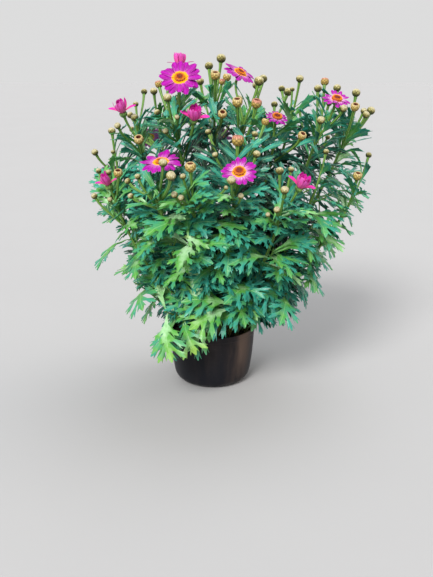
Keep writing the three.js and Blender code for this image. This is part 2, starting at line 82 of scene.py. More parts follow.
# The growth rule, in mm. A shoot's ways are [outwards, up]. MAIN_STEM_FROM is the share of a stem under which
# it has no main leaves, without a shoot and with one.
STEM_HOLE_DEPTH = 22
SEAT_GAP = 0.3
STEM_RADIUS = 2
STEM_LEAN_AT_FOOT = 0.0025
STEM_LEAN_AT_TOP = 0.0022
FOOT_SPREAD = 0.2
SHOOT_RADIUS = 1.4
SHOOT_FROM = 0.2
SHOOT_START_WAY = (0.8, 0.6)
SHOOT_END_WAY = (0.85, 0.5)
STALK_RADIUS = 1.1
FIRST_HEAD_AT = 0.985
HEAD_SPACING = 0.045
FLOWER_NECK = 6
BUD_NECK_SHARE = 0.6
BUD_UPTURN = 0.5
STEM_LEAVES = 5
SHOOT_LEAVES = 5
LEAF_LENGTHS = (80, 64)
LEAF_BENDS = (1.3, 0.7)
LEAF_RISES = (0.3, 0.75)
LEAF_LEVELS = (90, 370)
LEAF_TILT = 0.7
LEAF_GAP = 5
OWN_GAP = 2
LEAF_MARGIN = 4
LEAF_FREE_FROM = 0.3
LOWEST_LEAF = 70
ROOM_ROUND_POT = 8
ROOM_ROUND_HUB = 10
ROOM_ROUND_RAYS = 8
ROOM_ROUND_BUD = 2
NO_STEM = -1
STEM_POINTS = 36
SHOOT_POINTS = 14
STALK_POINTS = 10
MAIN_SEED = 1000
MAIN_STEM_FROM = (0.5, 0.35)
MAIN_SHOOT_FROM = 0.2
BARE_RIM_LEAVES_FROM = 108
BUSH_SIDES = (
    (70, -84, 92), (90, -90, 106), (110, -98, 126), (130, -115, 147), (150, -135, 159), (175, -150, 174),
    (200, -157, 194), (230, -168, 214), (260, -180, 225), (300, -190, 235),
)
BUSH_MIDDLE = (20, -10, 0)
SWINGS = (0, 0.5, -0.5, 1, -1, 1.5, -1.5)

# What a leaf draws for itself: how far it leans out, its bend, its length and how its sides curl
MAIN_DRAWS = {"outward": (0.5, 0.9), "bend": (0.85, 1.15), "length": (0.85, 1.12), "curl": (-0.25, 0.15)}
FILLING_DRAWS = {"outward": (0.35, 0.95), "bend": (0.7, 1.3), "length": (0.85, 1.15), "curl": (-0.3, 0.2)}

# How far the filling leaves may reach from the middle of the bush at each height, sideways, and the share of
# it to the front and back; and how high they may reach at each place from left to right
REACH = (
    (60, 104), (90, 112), (130, 130), (160, 146), (200, 164), (240, 184), (300, 206), (340, 213), (370, 210),
    (400, 200), (450, 150),
)
TOPS = (
    (-172, 335), (-145, 372), (-103, 398), (-60, 420), (5, 445), (33, 440), (83, 398), (105, 398), (147, 438),
    (169, 430), (190, 408), (236, 350),
)
REACH_MIDDLE = (24, -12)
REACH_DEPTH = 0.86
# How deep inside the bush and how far under its top a leaf must end before its tone is darkened as painted
# shade, and over how much that darkening grows
DEEP_INSIDE = 0.38
DEEP_FADE = 0.5
DEEP_UNDER_TOP = 15
DEEP_UNDER_TOP_FADE = 70
FILLING_MARGIN = 12
FILLING_LOWEST = 62
FILLING_OVER_POT = 3
FILLING_BESIDE_POT = 2
FILLING_STEM_GAP = 3
FILLING_HEAD_GAP = 4
FILLING_STEM_POINTS = 30
FILLING_SEED = 41
UNCROWDED = 99
BROAD_LEAVES_TO = 0.4
LOW_HEADS_TO = 340
HEAD_LIGHT_WAY = (0, -1, 0.38)
HEAD_LIGHT_LENGTH = 60
TWIG_LENGTHS = (42, 66)
TWIG_LEAVES = 4
TWIG_LEAVES_LEAST = 3
HEAD_LEAVES = 4
SIDE_BUD_DROP = 20
SIDE_BUD_FEET = (0.45, 0.97, 14)

# The first and last share of each kind of curve where the filling leaves stand
STEM_FILLING = (0.2, 0.92)
SHOOT_FILLING = (0.2, 0.98)
HANGING_FILLING = (0.1, 0.9)
TWIG_FILLING = (0.3, 1)
TOP_FILLING = (0.74, 1)
HEAD_FILLING = (0.02, 0.66)


def bloom(name, at, radius, facing, halo):
    """An open flower; halo is how pale its rays are at their base."""
    return SimpleNamespace(kind="bloom", name=name, at=at, radius=radius, facing=facing, halo=halo)


def cup(name, at, radius, facing):
    """A half-open flower."""
    return SimpleNamespace(kind="cup", name=name, at=at, radius=radius, facing=facing)


def bud(x, y, z, radius, look="closed"):
    """A bud, whose look is closed, or ring where its rays stand round a dark middle, or pink."""
    return SimpleNamespace(kind="bud", at=(x, y, z), radius=radius, look=look)


def stem(name, top, *heads, low=None):
    """A leafy stem up to top, with its heads from the topmost down, and the tip of its low side shoot."""
    return SimpleNamespace(name=name, top=top, heads=heads, low=low)


STEMS = (
    stem(
        "left_crown", (-98, -42, 372),
        bud(-94, 10, 426, 4.5), cup("left_crown", (-116, -60, 404), 9, (-0.2, -0.4, 0.9)),
        bud(-120, -84, 388, 4.5), bud(-92, -96, 372, 6.5, "ring"),
    ),
    stem(
        "left_centre", (-46, -58, 395),
        cup("crown", (-42, -28, 461), 9, (0, 0.1, 1)), bloom("crown", (-40, -70, 446), 28, (0, -0.7, 0.7), 0),
        bud(-71, -20, 437, 5.5, "pink"), bud(-54, -106, 424, 5.5),
        cup("centre", (-22, -95, 398), 11, (0.1, -0.5, 0.86)),
    ),
    stem(
        "crown", (4, -4, 408),
        bud(13, 0, 470, 6.5), bud(-4, 30, 460, 6), bud(5, -50, 449, 6.5, "ring"),
        bud(14, -90, 403, 6, "ring"),
    ),
    stem(
        "right_of_crown", (42, -38, 395),
        bloom("right_of_crown", (38, -20, 451), 24, (0.45, -0.35, 0.82), 0.3), bud(62, -50, 442, 6.5),
        bud(72, 24, 443, 6), bud(33, -80, 417, 7, "ring"), bud(58, -70, 415, 7, "pink"),
    ),
    stem(
        "middle", (31, -112, 318),
        bud(33, -115, 373, 8, "pink"), bud(56, -130, 358, 5),
        bloom("middle", (34, -150, 339), 23, (0, -0.64, 0.77), 0.5), bud(24, -186, 335, 5.5),
        low=(32, -100, 150),
    ),
    stem(
        "right_centre", (86, -12, 352),
        bud(90, 40, 407, 5), bloom("right_centre", (89, -20, 393), 16, (0.15, -0.45, 0.88), 0.6),
        bud(117, -80, 375, 6, "ring"),
    ),
    stem("right_back_crown", (114, 34, 385), bud(123, 20, 443, 5.5)),
    stem(
        "right_crown", (148, -22, 375),
        bud(158, 20, 439, 6, "pink"), bud(145, -8, 431, 5.5),
        bloom("right_crown", (166, -40, 418), 19, (0.15, -0.45, 0.88), 0.65), bud(142, -70, 394, 5.5),
    ),
    stem(
        "far_right", (188, 2, 360),
        bud(199, 0, 425, 6), bud(221, 0, 401, 6), bud(184, -76, 411, 6, "ring"),
    ),
    stem("right_low", (138, -78, 305), bud(150, -74, 354, 4), low=(106, -64, 155)),
    stem(
        "far_right_low", (196, -36, 285),
        bud(222, 0, 340, 4.5), bud(196, -60, 320, 6.5, "ring"),
        low=(136, -16, 175),
    ),
    stem(
        "left_low", (-126, -76, 282),
        bud(-118, -112, 332, 6, "ring"), bud(-150, -68, 328, 4),
        cup("left_low", (-135, -90, 314), 7, (-0.3, -0.4, 0.86)), bud(-155, -82, 297, 4.5),
        low=(-112, -44, 165),
    ),
    stem(
        "left_front", (-66, -124, 300),
        bloom("left_front", (-61, -140, 349), 26, (-0.1, -0.3, 0.95), 0.25), bud(-46, -192, 341, 6),
        bud(-91, -134, 331, 4),
        low=(-64, -98, 140),
    ),
    stem(
        "front", (-22, -128, 292),
        bud(-25, -150, 345, 7, "ring"), bud(-44, -164, 314, 4.5),
        low=(-14, -108, 140),
    ),
    stem(
        "right_front", (88, -114, 275),
        bud(87, -108, 334, 5.5), cup("right_front", (111, -130, 318), 10.5, (0.35, -0.4, 0.85)),
        bud(90, -150, 317, 5.5),
        low=(72, -92, 145),
    ),
    stem(
        "back_left", (-78, 70, 362),
        bud(-66, 95, 432, 6), bloom("back_left", (-100, 118, 352), 25, (-0.3, 0.7, 0.65), 0.4),
        bud(-122, 70, 390, 5),
        low=(-78, 70, 165),
    ),
    stem(
        "back", (0, 96, 370),
        bud(22, 96, 443, 6.5, "ring"), bloom("back", (10, 146, 350), 25, (0.05, 0.75, 0.66), 0.7),
        bud(42, 132, 410, 6), bud(-44, 136, 388, 5.5),
        low=(2, 104, 160),
    ),
    stem(
        "back_right", (80, 84, 362),
        bud(66, 86, 432, 6), bud(114, 92, 422, 6.5), cup("back_right", (96, 128, 372), 9, (0.2, 0.5, 0.84)),
        low=(84, 78, 165),
    ),
    stem("far_back_right", (150, 80, 325), bud(196, 62, 378, 5.5), low=(128, 36, 180)),
    stem(
        "far_left", (-136, 18, 312),
        bud(-142, 14, 372, 5.5), bud(-164, -8, 345, 5),
        bloom("far_left", (-158, 66, 302), 23, (-0.55, 0.55, 0.63), 0.3),
        low=(-118, 20, 170),
    ),
)

# Smaller buds on short side stalks, each on the nearest stem below it
SIDE_BUDS = [bud(*row) for row in (
    (14, -12, 440, 4.5, "pink"), (-103, -20, 411, 4), (-102, -50, 396, 5), (-71, -60, 403, 4.3),
    (-43, -100, 400, 3.4), (-58, -92, 382, 4), (-4, -92, 381, 4), (-131, -60, 352, 3), (5, -130, 357, 4),
    (68, -96, 394, 5, "ring"), (115, 40, 428, 3.5), (174, 10, 431, 5.5), (172, -62, 408, 5.2),
    (207, -20, 402, 4.5), (55, -100, 379, 4.3), (-133, -92, 330, 4), (-106, -114, 322, 4.2),
    (-132, -100, 296, 3.6), (-101, -130, 306, 4), (-56, -176, 354, 5.5), (-34, -152, 334, 4),
    (-36, -168, 311, 4), (18, -162, 322, 3), (100, -122, 338, 4), (36, -162, 312, 4), (81, -152, 293, 4.5),
    (70, -152, 287, 3.2), (102, 64, 428, 5), (208, -32, 398, 5), (-84, 50, 425, 5.5), (-18, 100, 437, 6),
    (62, 134, 385, 5), (-56, 122, 410, 4), (-124, 104, 366, 4.5), (30, 150, 376, 4),
    (134, 104, 396, 5, "ring"), (172, 62, 408, 5), (-152, 62, 322, 4), (0, 62, 450, 5), (92, 124, 380, 4),
    (-20, 146, 362, 4.5, "ring"), (176, 84, 356, 4),
)]

# Lobes of one half of a leaf in shares of its length: each starts at root on the rib and ends at its tip.
BROAD_LOBES = ((0.28, (0.54, 0.22)), (0.44, (0.76, 0.32)), (0.62, (0.96, 0.26)))
NARROW_LOBES = ((0.36, (0.64, 0.21)), (0.56, (0.86, 0.24)))
SLIM_LOBES = ((0.46, (0.78, 0.16)),)
PLAIN_LOBES = ()
LEAF_RIB_END = 0.78
LEAF_FOOT_WIDTH = 0.008
LOBE_WIDTH = 0.039


def seeded(seed):
    """Random draws that are the same each time."""
    state = seed

    def draw(low, high):
        nonlocal state
        state = (state * 1664525 + 1013904223) & 0xFFFFFFFF
        return low + ((high - low) * state) / 2**32

    return draw


def mix(low, high, share):
    return low + (high - low) * min(1, max(0, share))


def unit(vector):
    return vector / np.linalg.norm(vector)


def level_way(vector):
    return unit(vector * (1, 1, 0))


def apart(places, others):
    """How far each place lies from each of the others."""
    return np.linalg.norm(places[:, None] - others[None], axis=2)


def read_off(rows, at):
    """The value at a place of a line that goes through [place, value] rows."""
    return np.interp(at, *zip(*rows))


class Growth:
    """A curve in mm that leaves one place in one direction and arrives at another in another direction."""

    def __init__(self, start, direction, end, arrival):
        reach = np.linalg.norm(end - start) / 3
        self.corners = (start, start + direction * reach, end - arrival * reach, end)

    def at(self, share):
        a, b, c, d = self.corners
        rest = 1 - share
        return rest**3 * a + 3 * rest**2 * share * b + 3 * rest * share**2 * c + share**3 * d

    def tangent(self, share):
        return unit(self.at(min(1, share + 1e-4)) - self.at(max(0, share - 1e-4)))

    def places(self, steps):
        return np.array([self.at(k / steps) for k in range(steps + 1)])


def stem_curve(row):
    top = np.array(row.top, float)
    foot = np.array((top[0] * FOOT_SPREAD, top[1] * FOOT_SPREAD, SOIL_HEIGHT - STEM_HOLE_DEPTH + SEAT_GAP))
    start, arrival = (
        unit(np.array((top[0] * lean, top[1] * lean, 1))) for lean in (STEM_LEAN_AT_FOOT, STEM_LEAN_AT_TOP)
    )
    return Growth(foot, start, top, arrival)


def shoot_curve(row, curve):
    tip = np.array(row.low, float)
    foot = curve.at(SHOOT_FROM)
    outward = level_way(tip - foot)
    start, arrival = (unit(outward * out + UP * up) for out, up in (SHOOT_START_WAY, SHOOT_END_WAY))
    return Growth(foot, start, tip, arrival)


def head_on(row, curve, along):
    """A flower head with the stalk that joins it to a curve."""
    start, at = curve.at(along), np.array(row.at, float)
    if row.kind == "bud":
        facing, neck = unit(unit(at - start) + UP * BUD_UPTURN), row.radius * BUD_NECK_SHARE
    else:
        facing, neck = unit(np.array(row.facing, float)), FLOWER_NECK
    end = at - facing * neck
    stalk = Growth(start, unit(unit(end - start) + curve.tangent(along)), end, facing)
    return SimpleNamespace(**{**vars(row), "at": at, "facing": facing, "stalk": stalk})


def placed_head(head, points):
    """Places in mm of points that are given in mm round a head, with z the way that it faces."""
    turn = Vector(UP).rotation_difference(Vector(head.facing)).to_matrix()
    return points @ np.array(turn).T + head.at


def side_way(curve, along, turn):
    """A place on a curve, the way out of the bush there and the way that is turned so far round the curve."""
    foot, tangent = curve.at(along), curve.tangent(along)
    level = unit(np.cross(tangent, UP))
    way = level * math.cos(turn) + np.cross(level, tangent) * math.sin(turn)
    return foot, level_way(foot - BUSH_MIDDLE), way


def leaf_height(place):
    """Where a place lies between the lowest and the highest main leaves, from 0 to 1."""
    return (place[2] - LEAF_LEVELS[0]) / (LEAF_LEVELS[1] - LEAF_LEVELS[0])


def leaf_at(curve, along, turn, drawn, lobes, rise=1):
    """One leaf of a curve; rise over 1 makes it stand more upright."""
    foot, outward, way = side_way(curve, along, turn)
    height = leaf_height(foot)
    direction = unit(way + outward * drawn["outward"] + UP * mix(*LEAF_RISES, height) * rise)
    above = UP + outward * LEAF_TILT
    face = unit(above - direction * direction.dot(above))
    return SimpleNamespace(
        foot=foot,
        direction=direction,
        face=face,
        side=np.cross(face, direction),
        bend=mix(*LEAF_BENDS, height) * drawn["bend"],
        length=mix(*LEAF_LENGTHS, height) * drawn["length"],
        curl=drawn["curl"],
        height=height,
        lobes=lobes,
    )


def leaf_places(leaf, points):
    """Places in mm of points that are given as shares of a leaf's length: along, across and up."""
    along, across, lift = points.T
    turned = leaf.bend * along
    forward = np.sin(turned) / leaf.bend * leaf.length
    drop = (1 - np.cos(turned)) / leaf.bend * leaf.length
    raised = (lift + leaf.curl * np.abs(across)) * leaf.length
    return (
        leaf.foot
        + np.outer(forward + raised * np.sin(turned), leaf.direction)
        + np.outer(raised * np.cos(turned) - drop, leaf.face)
        + np.outer(across * leaf.length, leaf.side)
    )


@functools.cache
def leaf_samples(lobes):
    """Points down the rib and out along each lobe that stand for a leaf where its room is looked at."""
    shares = [((k + 1) / 10, 0, 0) for k in range(10)]
    for root, tip in lobes:
        for share in (1 / 3, 2 / 3, 1):
            along = mix(root, tip[0], share)
            shares += [(along, tip[1] * share, 0), (along, -tip[1] * share, 0)]
    return np.array(shares)


def off_limits(places, lowest, over_pot, beside_pot, margin=0):
    """Whether any place lies too low, too near the pot, beyond the sides of the bush or where the rim of the
    pot shows under the leaves at the front right."""
    x, y, z = places.T
    at_pot = (z < POT_HEIGHT + over_pot) & (np.hypot(x, y) < POT_RIM_RADIUS + beside_pot)
    at_bare_rim = (z < BARE_RIM_LEAVES_FROM) & (y < 0) & (x > 0) & (x < POT_RIM_RADIUS)
    heights, left, right = zip(*BUSH_SIDES)
    beyond = (x < np.interp(z, heights, left) + margin) | (x > np.interp(z, heights, right) - margin)
    return z.min() < lowest or (at_pot | at_bare_rim | beyond).any()


def from_middle(x, y):
    """How far a place lies from the middle of the bush, which is less deep than wide."""
    return np.hypot(x - REACH_MIDDLE[0], (y - REACH_MIDDLE[1]) / REACH_DEPTH)


def inwards(leaf):
    """How deep inside the bush a leaf ends: 0 at the outside, 1 in the middle. Leaf tones are darkened by it
    as painted shade.
    """
    x, y, z = leaf.foot + leaf.direction * leaf.length * 0.7
    sideways = mix(1, 0, (from_middle(x, y) / read_off(REACH, z) - DEEP_INSIDE) / DEEP_FADE)
    return sideways * mix(0, 1, (read_off(TOPS, x) - z - DEEP_UNDER_TOP) / DEEP_UNDER_TOP_FADE)


class Room:
    """The places that are taken in and round the bush, each with a margin and the number of its stem."""

    def __init__(self):
        self.places = np.zeros((0, 3))
        self.margins = np.zeros(0)
        self.owners = np.zeros(0, int)

    def take(self, places, margin, owner):
        self.places = np.append(self.places, places, axis=0)
        self.margins = np.append(self.margins, [margin] * len(places))
        self.owners = np.append(self.owners, [owner] * len(places))

    def take_head(self, head, owner):
        self.take(head.stalk.places(STALK_POINTS), STALK_RADIUS, owner)
        if head.kind != "bloom":
            self.take(head.at[None], head.radius + ROOM_ROUND_BUD, owner)
            return
        angles = np.arange(8) * math.pi / 4
        ring = np.stack((np.cos(angles), np.sin(angles), angles * 0), axis=1) * head.radius * 0.75
        self.take(head.at[None], ROOM_ROUND_HUB, NO_STEM)
        self.take(placed_head(head, ring), ROOM_ROUND_RAYS, NO_STEM)

    def is_clear(self, samples, free, owner):
        if off_limits(samples, LOWEST_LEAF, ROOM_ROUND_POT, ROOM_ROUND_POT):
            return False
        own = self.owners == owner
        near = apart(samples, self.places) <= np.where(own, OWN_GAP, LEAF_GAP) + self.margins
        return not (near & (~own[None] | free[:, None])).any()


def fitting(curve, along, turn, drawn, lobes, samples, fits, rise=1):
    """Each swing of a leaf that fits, with the leaf and its places."""
    for swing in SWINGS:
        leaf = leaf_at(curve, along, turn + swing, drawn, lobes, rise)
        places = leaf_places(leaf, samples)
        if fits(places):
            yield swing, leaf, places


def leaves_up(curve, lobes, count, first, owner, draw, room):
    """Leaves up a stem or shoot, each a golden angle on, swung aside or left out where there is no room."""
    leaves = []
    turn = draw(0, FULL_TURN)
    samples = leaf_samples(lobes)
    is_clear = functools.partial(room.is_clear, free=samples[:, 0] > LEAF_FREE_FROM, owner=owner)
    for k in range(count):
        along = mix(first, 1, (k + 0.5) / count)
        drawn = {name: draw(*span) for name, span in MAIN_DRAWS.items()}
        for _, leaf, places in fitting(curve, along, turn, drawn, lobes, samples, is_clear):
            leaves.append(leaf)
            room.take(places, LEAF_MARGIN, owner)
            break
        turn += GOLDEN_ANGLE
    return leaves


def grow_main(room):
    """The stems, shoots, heads and leaves that the plain model has."""
    plants = []
    for row in STEMS:
        curve = stem_curve(row)
        heads = [
            head_on(head, curve, FIRST_HEAD_AT - HEAD_SPACING * order) for order, head in enumerate(row.heads)
        ]
        shoot = shoot_curve(row, curve) if row.low else None
        plants.append(
            SimpleNamespace(name=row.name, curve=curve, shoot=shoot, heads=heads, twigs=[], leaves=[])
        )
    for owner, plant in enumerate(plants):
        room.take(plant.curve.places(STEM_POINTS), STEM_RADIUS, owner)
        if plant.shoot:
            room.take(plant.shoot.places(SHOOT_POINTS), SHOOT_RADIUS, owner)
        for head in plant.heads:
            room.take_head(head, owner)
    for owner, plant in enumerate(plants):
        grow = functools.partial(leaves_up, owner=owner, draw=seeded(MAIN_SEED + owner), room=room)
        plant.leaves += grow(plant.curve, NARROW_LOBES, STEM_LEAVES, MAIN_STEM_FROM[bool(plant.shoot)])
        if plant.shoot:
            plant.leaves += grow(plant.shoot, BROAD_LOBES, SHOOT_LEAVES, MAIN_SHOOT_FROM)
    return plants


def add_side_buds(plants):
    """Hangs each small bud on the stem that comes nearest below it."""
    for row in SIDE_BUDS:
        choices = []
        for plant in plants:
            for along in np.linspace(*SIDE_BUD_FEET):
                way = row.at - plant.curve.at(along)
                if way[2] > SIDE_BUD_DROP:
                    slant = math.hypot(way[0], way[1]) / way[2]
                    choices.append((np.linalg.norm(way) * (1 + 0.5 * slant), along, plant))
        _, along, plant = min(choices, key=lambda choice: choice[0])
        plant.heads.append(head_on(row, plant.curve, along))


class Filling:
    """The many smaller leaves that close the bush, kept off the heads and inside the reach of the bush."""

    def __init__(self, plants, settings):
        self.plants = plants
        self.settings = settings
        self.draw = random.Random(FILLING_SEED)
        heads = [head for plant in plants for head in plant.heads]
        self.heads = np.array([head.at for head in heads])
        shares = (0.9 if head.kind == "bloom" else 1 for head in heads)
        self.sizes = np.array([head.radius * share + FILLING_HEAD_GAP for head, share in zip(heads, shares)])
        self.stalks = np.concatenate([plant.curve.places(FILLING_STEM_POINTS) for plant in plants])
        self.stalk_owners = np.repeat(np.arange(len(plants)), FILLING_STEM_POINTS + 1)
        self.ribs = np.zeros((0, 3))

    def clear_of_heads(self, places):
        """Whether leaves leave each head clear, and the light that falls on it from the front."""
        light = unit(np.array(HEAD_LIGHT_WAY))
        away = places[:, None] - self.heads[None]
        away -= np.clip(away @ light, 0, HEAD_LIGHT_LENGTH)[..., None] * light
        return (np.linalg.norm(away, axis=2) > self.sizes).all()

    def fits(self, places, owner):
        x, y, z = places.T
        return not (
            off_limits(places, FILLING_LOWEST, FILLING_OVER_POT, FILLING_BESIDE_POT, FILLING_MARGIN)
            or (z > read_off(TOPS, x)).any()
            or (from_middle(x, y) > read_off(REACH, z)).any()
            or not self.clear_of_heads(places)
            or apart(places, self.stalks[self.stalk_owners != owner]).min() <= FILLING_STEM_GAP
        )

    def along(self, curve, owner, first, last, count, size, rise=1, lobes=None):
        """Leaves from first to last of a curve; of the swings that fit, the least crowded one stays."""
        leaves = []
        fits = functools.partial(self.fits, owner=owner)
        uniform = self.draw.uniform
        turn = uniform(0, FULL_TURN)
        for k in range(count):
            share = first + (last - first) * (k + uniform(0.2, 0.8)) / count
            high = leaf_height(curve.at(share)) > BROAD_LEAVES_TO
            kind = lobes if lobes is not None else NARROW_LOBES if high else BROAD_LOBES
            drawn = {name: uniform(*span) for name, span in FILLING_DRAWS.items()}
            drawn["length"] *= size
            samples = leaf_samples(kind)[2:]
            options = []
            for swing, leaf, places in fitting(curve, share, turn, drawn, kind, samples, fits, rise):
                rib = places[1:8:3]
                room = apart(rib, self.ribs).min() if len(self.ribs) else UNCROWDED
                options.append((room - abs(swing), leaf, rib))
            if options:
                _, leaf, rib = max(options, key=lambda option: option[0])
                leaves.append(leaf)
                self.ribs = np.append(self.ribs, rib, axis=0)
            turn += GOLDEN_ANGLE
        return leaves

    def twig(self, curve, share, turn):
        """A short side shoot that leaves a stem at a share of its length."""
        foot, outward, way = side_way(curve, share, turn)
        way = unit(way + outward * 0.7)
        length = self.draw.uniform(*TWIG_LENGTHS)
        end = foot + way * length * 0.75 + UP * length * 0.7
        return Growth(foot, unit(way + UP * 0.8), end, unit(way * 0.4 + UP))

    def grow(self):
        """Adds the leaves and twigs of every stem to its plant."""
        settings = self.settings
        for owner, plant in enumerate(self.plants):
            curve, shoot, leaves = plant.curve, plant.shoot, plant.leaves
            leaves += self.along(curve, owner, *STEM_FILLING, settings.stem_leaves, 1)
            if shoot:
                leaves += self.along(shoot, owner, *SHOOT_FILLING, settings.shoot_leaves, 1)
                leaves += self.along(shoot, owner, *HANGING_FILLING, settings.hanging_leaves, 0.95, -1)
            turn = self.draw.uniform(0, FULL_TURN)
            for k in range(settings.twigs):
                twig = self.twig(curve, 0.3 + 0.5 * (k + 0.5) / settings.twigs, turn)
                grown = self.along(twig, owner, *TWIG_FILLING, TWIG_LEAVES, 0.8)
                if len(grown) >= TWIG_LEAVES_LEAST:
                    plant.twigs.append(twig)
                    leaves += grown
                turn += GOLDEN_ANGLE
            leaves += self.along(curve, owner, *TOP_FILLING, settings.top_leaves, 0.85, 1.8)
            for head in plant.heads:
                kind = self.draw.choice((PLAIN_LOBES, PLAIN_LOBES, SLIM_LOBES))
                if head.at[2] < LOW_HEADS_TO:
                    kind = NARROW_LOBES
                leaves += self.along(head.stalk, owner, *HEAD_FILLING, HEAD_LEAVES, 0.7, 2.2, kind)


@functools.cache
def plant_rows():
    """The whole plant, grown once."""
    plants = grow_main(Room())
    add_side_buds(plants)
    Filling(plants, bpy.context.scene.daisy).grow()
    return plants


# Edges that are sharper than this stay sharp
SHARP = math.radians(50)

# Turned outlines as [radius, height]: a bud's in shares of its radius, those of a calyx and the disc in mm
BUD_OUTLINE = (
    (0, -0.85), (0.4, -0.85), (0.66, -0.72), (0.9, -0.4), (0.99, 0), (0.93, 0.34), (0.74, 0.64), (0.46, 0.82),
    (0.2, 0.9), (0, 0.92),
)
RING_OUTLINE = (
    (0, -0.85), (0.4, -0.85), (0.66, -0.72), (0.9, -0.4), (1, 0), (0.97, 0.34), (0.86, 0.62), (0.68, 0.74),
    (0.5, 0.66), (0.42, 0.4), (0.36, 0.12), (0, 0.05),
)
CALYX_OUTLINE = ((0, -8), (2.2, -8), (4.6, -6.4), (6.4, -4), (7, -2.2), (6.6, -0.9), (0, -0.8))
CUP_CALYX_OUTLINE = ((0, -8), (2, -8), (3.8, -6.9), (5.2, -4.6), (5.3, -2.4), (4.4, -0.9), (0, -0.8))
DISC_OUTLINE = ((0, 0.7), (6.2, 0.7), (7, 1.6), (6.6, 2.9), (5.2, 3.6), (3, 3.3), (1.4, 2.9), (0, 2.8))


def mesh_from(name, bm):
    mesh = bpy.data.meshes.new(name)
    bm.to_mesh(mesh)
    bm.free()
    return mesh


def linked(name, data):
    """A new object of the scene."""
    made = bpy.data.objects.new(name, data)
    bpy.context.scene.collection.objects.link(made)
    return made


def dressed(name, mesh, materials, slot, node):
    """Makes a mesh a finished object that rides on the root body and stands for its node."""
    for material in materials:
        mesh.materials.append(material)
    piece = linked(name, mesh)
    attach(piece, "root")
    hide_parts(node)


class Shape:
    """A closed shape that is placed many times. Its points are its own coordinates."""

    def __init__(self, name, bm, material=0):
        bmesh.ops.recalc_face_normals(bm, faces=bm.faces)
        for edge in bm.edges:
            edge.smooth = edge.calc_face_angle(0) < SHARP
        for face in bm.faces:
            face.smooth = True
            face.material_index = material
        self.mesh = mesh_from(name, bm)
        self.points = np.zeros((len(self.mesh.vertices), 3))
        self.mesh.vertices.foreach_get("co", self.points.ravel())


class Piece:
    """One object that is grown from many placed shapes. Its mesh keeps each shape's own coordinates in the
    attribute "shape" and a tone for each copy in the attribute "tone", for the material to read."""

    def __init__(self, name):
        self.name = name
        self.bm = bmesh.new()
        self.places, self.shapes, self.tones = [], [], []

    def add(self, shape, places, tone=0.5):
        self.bm.from_mesh(shape.mesh)
        self.places.append(places)
        self.shapes.append(shape.points)
        self.tones.append(np.full(len(places), tone))

    def finish(self, materials, slot, node):
        mesh = mesh_from(self.name, self.bm)
        mesh.vertices.foreach_set("co", (np.concatenate(self.places) * MM).ravel())
        for name, kind, field, rows in (
            ("shape", "FLOAT_VECTOR", "vector", self.shapes), ("tone", "FLOAT", "value", self.tones),
        ):
            attribute = mesh.attributes.new(name, kind, "POINT")
            attribute.data.foreach_set(field, np.concatenate(rows).ravel())
        mesh.update()
        dressed(self.name, mesh, materials, slot, node)


def extruded(bm, corners, *places):
    """Extrudes the edge between two corners and moves the new corners to places."""
    made = bmesh.ops.extrude_edge_only(bm, edges=[bm.edges.get(corners)])["geom"]
    new = [element for element in made if isinstance(element, bmesh.types.BMVert)]
    ordered = [next(vert for vert in new if bm.edges.get((corner, vert))) for corner in corners]
    for vert, place in zip(ordered, places):
        vert.co = (*place[:2], 0)
    return ordered


def lobe_on(bm, low, high, tip, width):
    """Extrudes one lobe with a tooth on each side from the rib's edge between two corners."""
    start = (low.co + high.co) / 2
    way = Vector((*tip, 0)) - start
    out = way.normalized()
    across = Vector((-out.y, out.x, 0))

    def pair(share, half):
        middle = start + way * share
        return middle - across * half, middle + across * half

    # the outer corner of the base is the high one, which lies on the tip's side of the lobe
    waist = extruded(bm, (high, low), *pair(0.36, width * 0.66))
    blade = extruded(bm, waist, *pair(0.74, width))
    extruded(bm, blade, *pair(1.03, width * 0.24))
    for side, (near, far) in zip((-1, 1), zip(waist, blade)):
        middle = start + way * 0.93 + across * side * width * 1.75
        spread = out * width * 0.12
        extruded(bm, (near, far), middle - spread, middle + spread)


def face_up(bm):
    """Turns the faces of a sheet upwards."""
    bmesh.ops.recalc_face_normals(bm, faces=bm.faces)
    if sum(face.normal.z for face in bm.faces) < 0:
        bmesh.ops.reverse_faces(bm, faces=bm.faces)


def leaf_shape(name, lobes, widest, thickness):
    """A leaf one unit long: a wedge with lobes on both sides, each with small teeth, and a toothed end."""
    bm = bmesh.new()
    foot = [bm.verts.new((0, 0, 0)), bm.verts.new((0, LEAF_FOOT_WIDTH, 0))]
    bm.edges.new(foot)
    rows = [foot]
    roots = [root for root, _ in lobes] + [LEAF_RIB_END]
    for along in (roots[0] * 0.35, roots[0] * 0.7, *roots):
        width = LEAF_FOOT_WIDTH + (widest - LEAF_FOOT_WIDTH) * min(1, along / roots[0]) ** 1.3
        rows.append(extruded(bm, rows[-1], (along, 0), (along, width)))
    for order, (_, tip) in enumerate(lobes):
        lobe_on(bm, rows[order + 3][1], rows[order + 4][1], tip, LOBE_WIDTH)
    rib = rows[-1]
    wide = max(0.056, widest * 0.85)
    blade = extruded(bm, rib, (0.9, 0), (0.9, wide))
    extruded(bm, blade, (1, 0), (1, 0.012))
    extruded(bm, (rib[1], blade[1]), (0.94, wide + 0.034), (0.96, wide + 0.04))
    bmesh.ops.mirror(bm, geom=bm.verts[:] + bm.edges[:] + bm.faces[:], axis="Y", merge_dist=1e-4)
    face_up(bm)
    for vert in bm.verts:
        fold = 0.018 * math.exp(-abs(vert.co.y) / 0.02)
        vert.co.z = -fold + 0.012 * math.sin(vert.co.x * 19 + abs(vert.co.y) * 23)
    bmesh.ops.solidify(bm, geom=bm.faces[:], thickness=thickness)
    return Shape(name, bm)


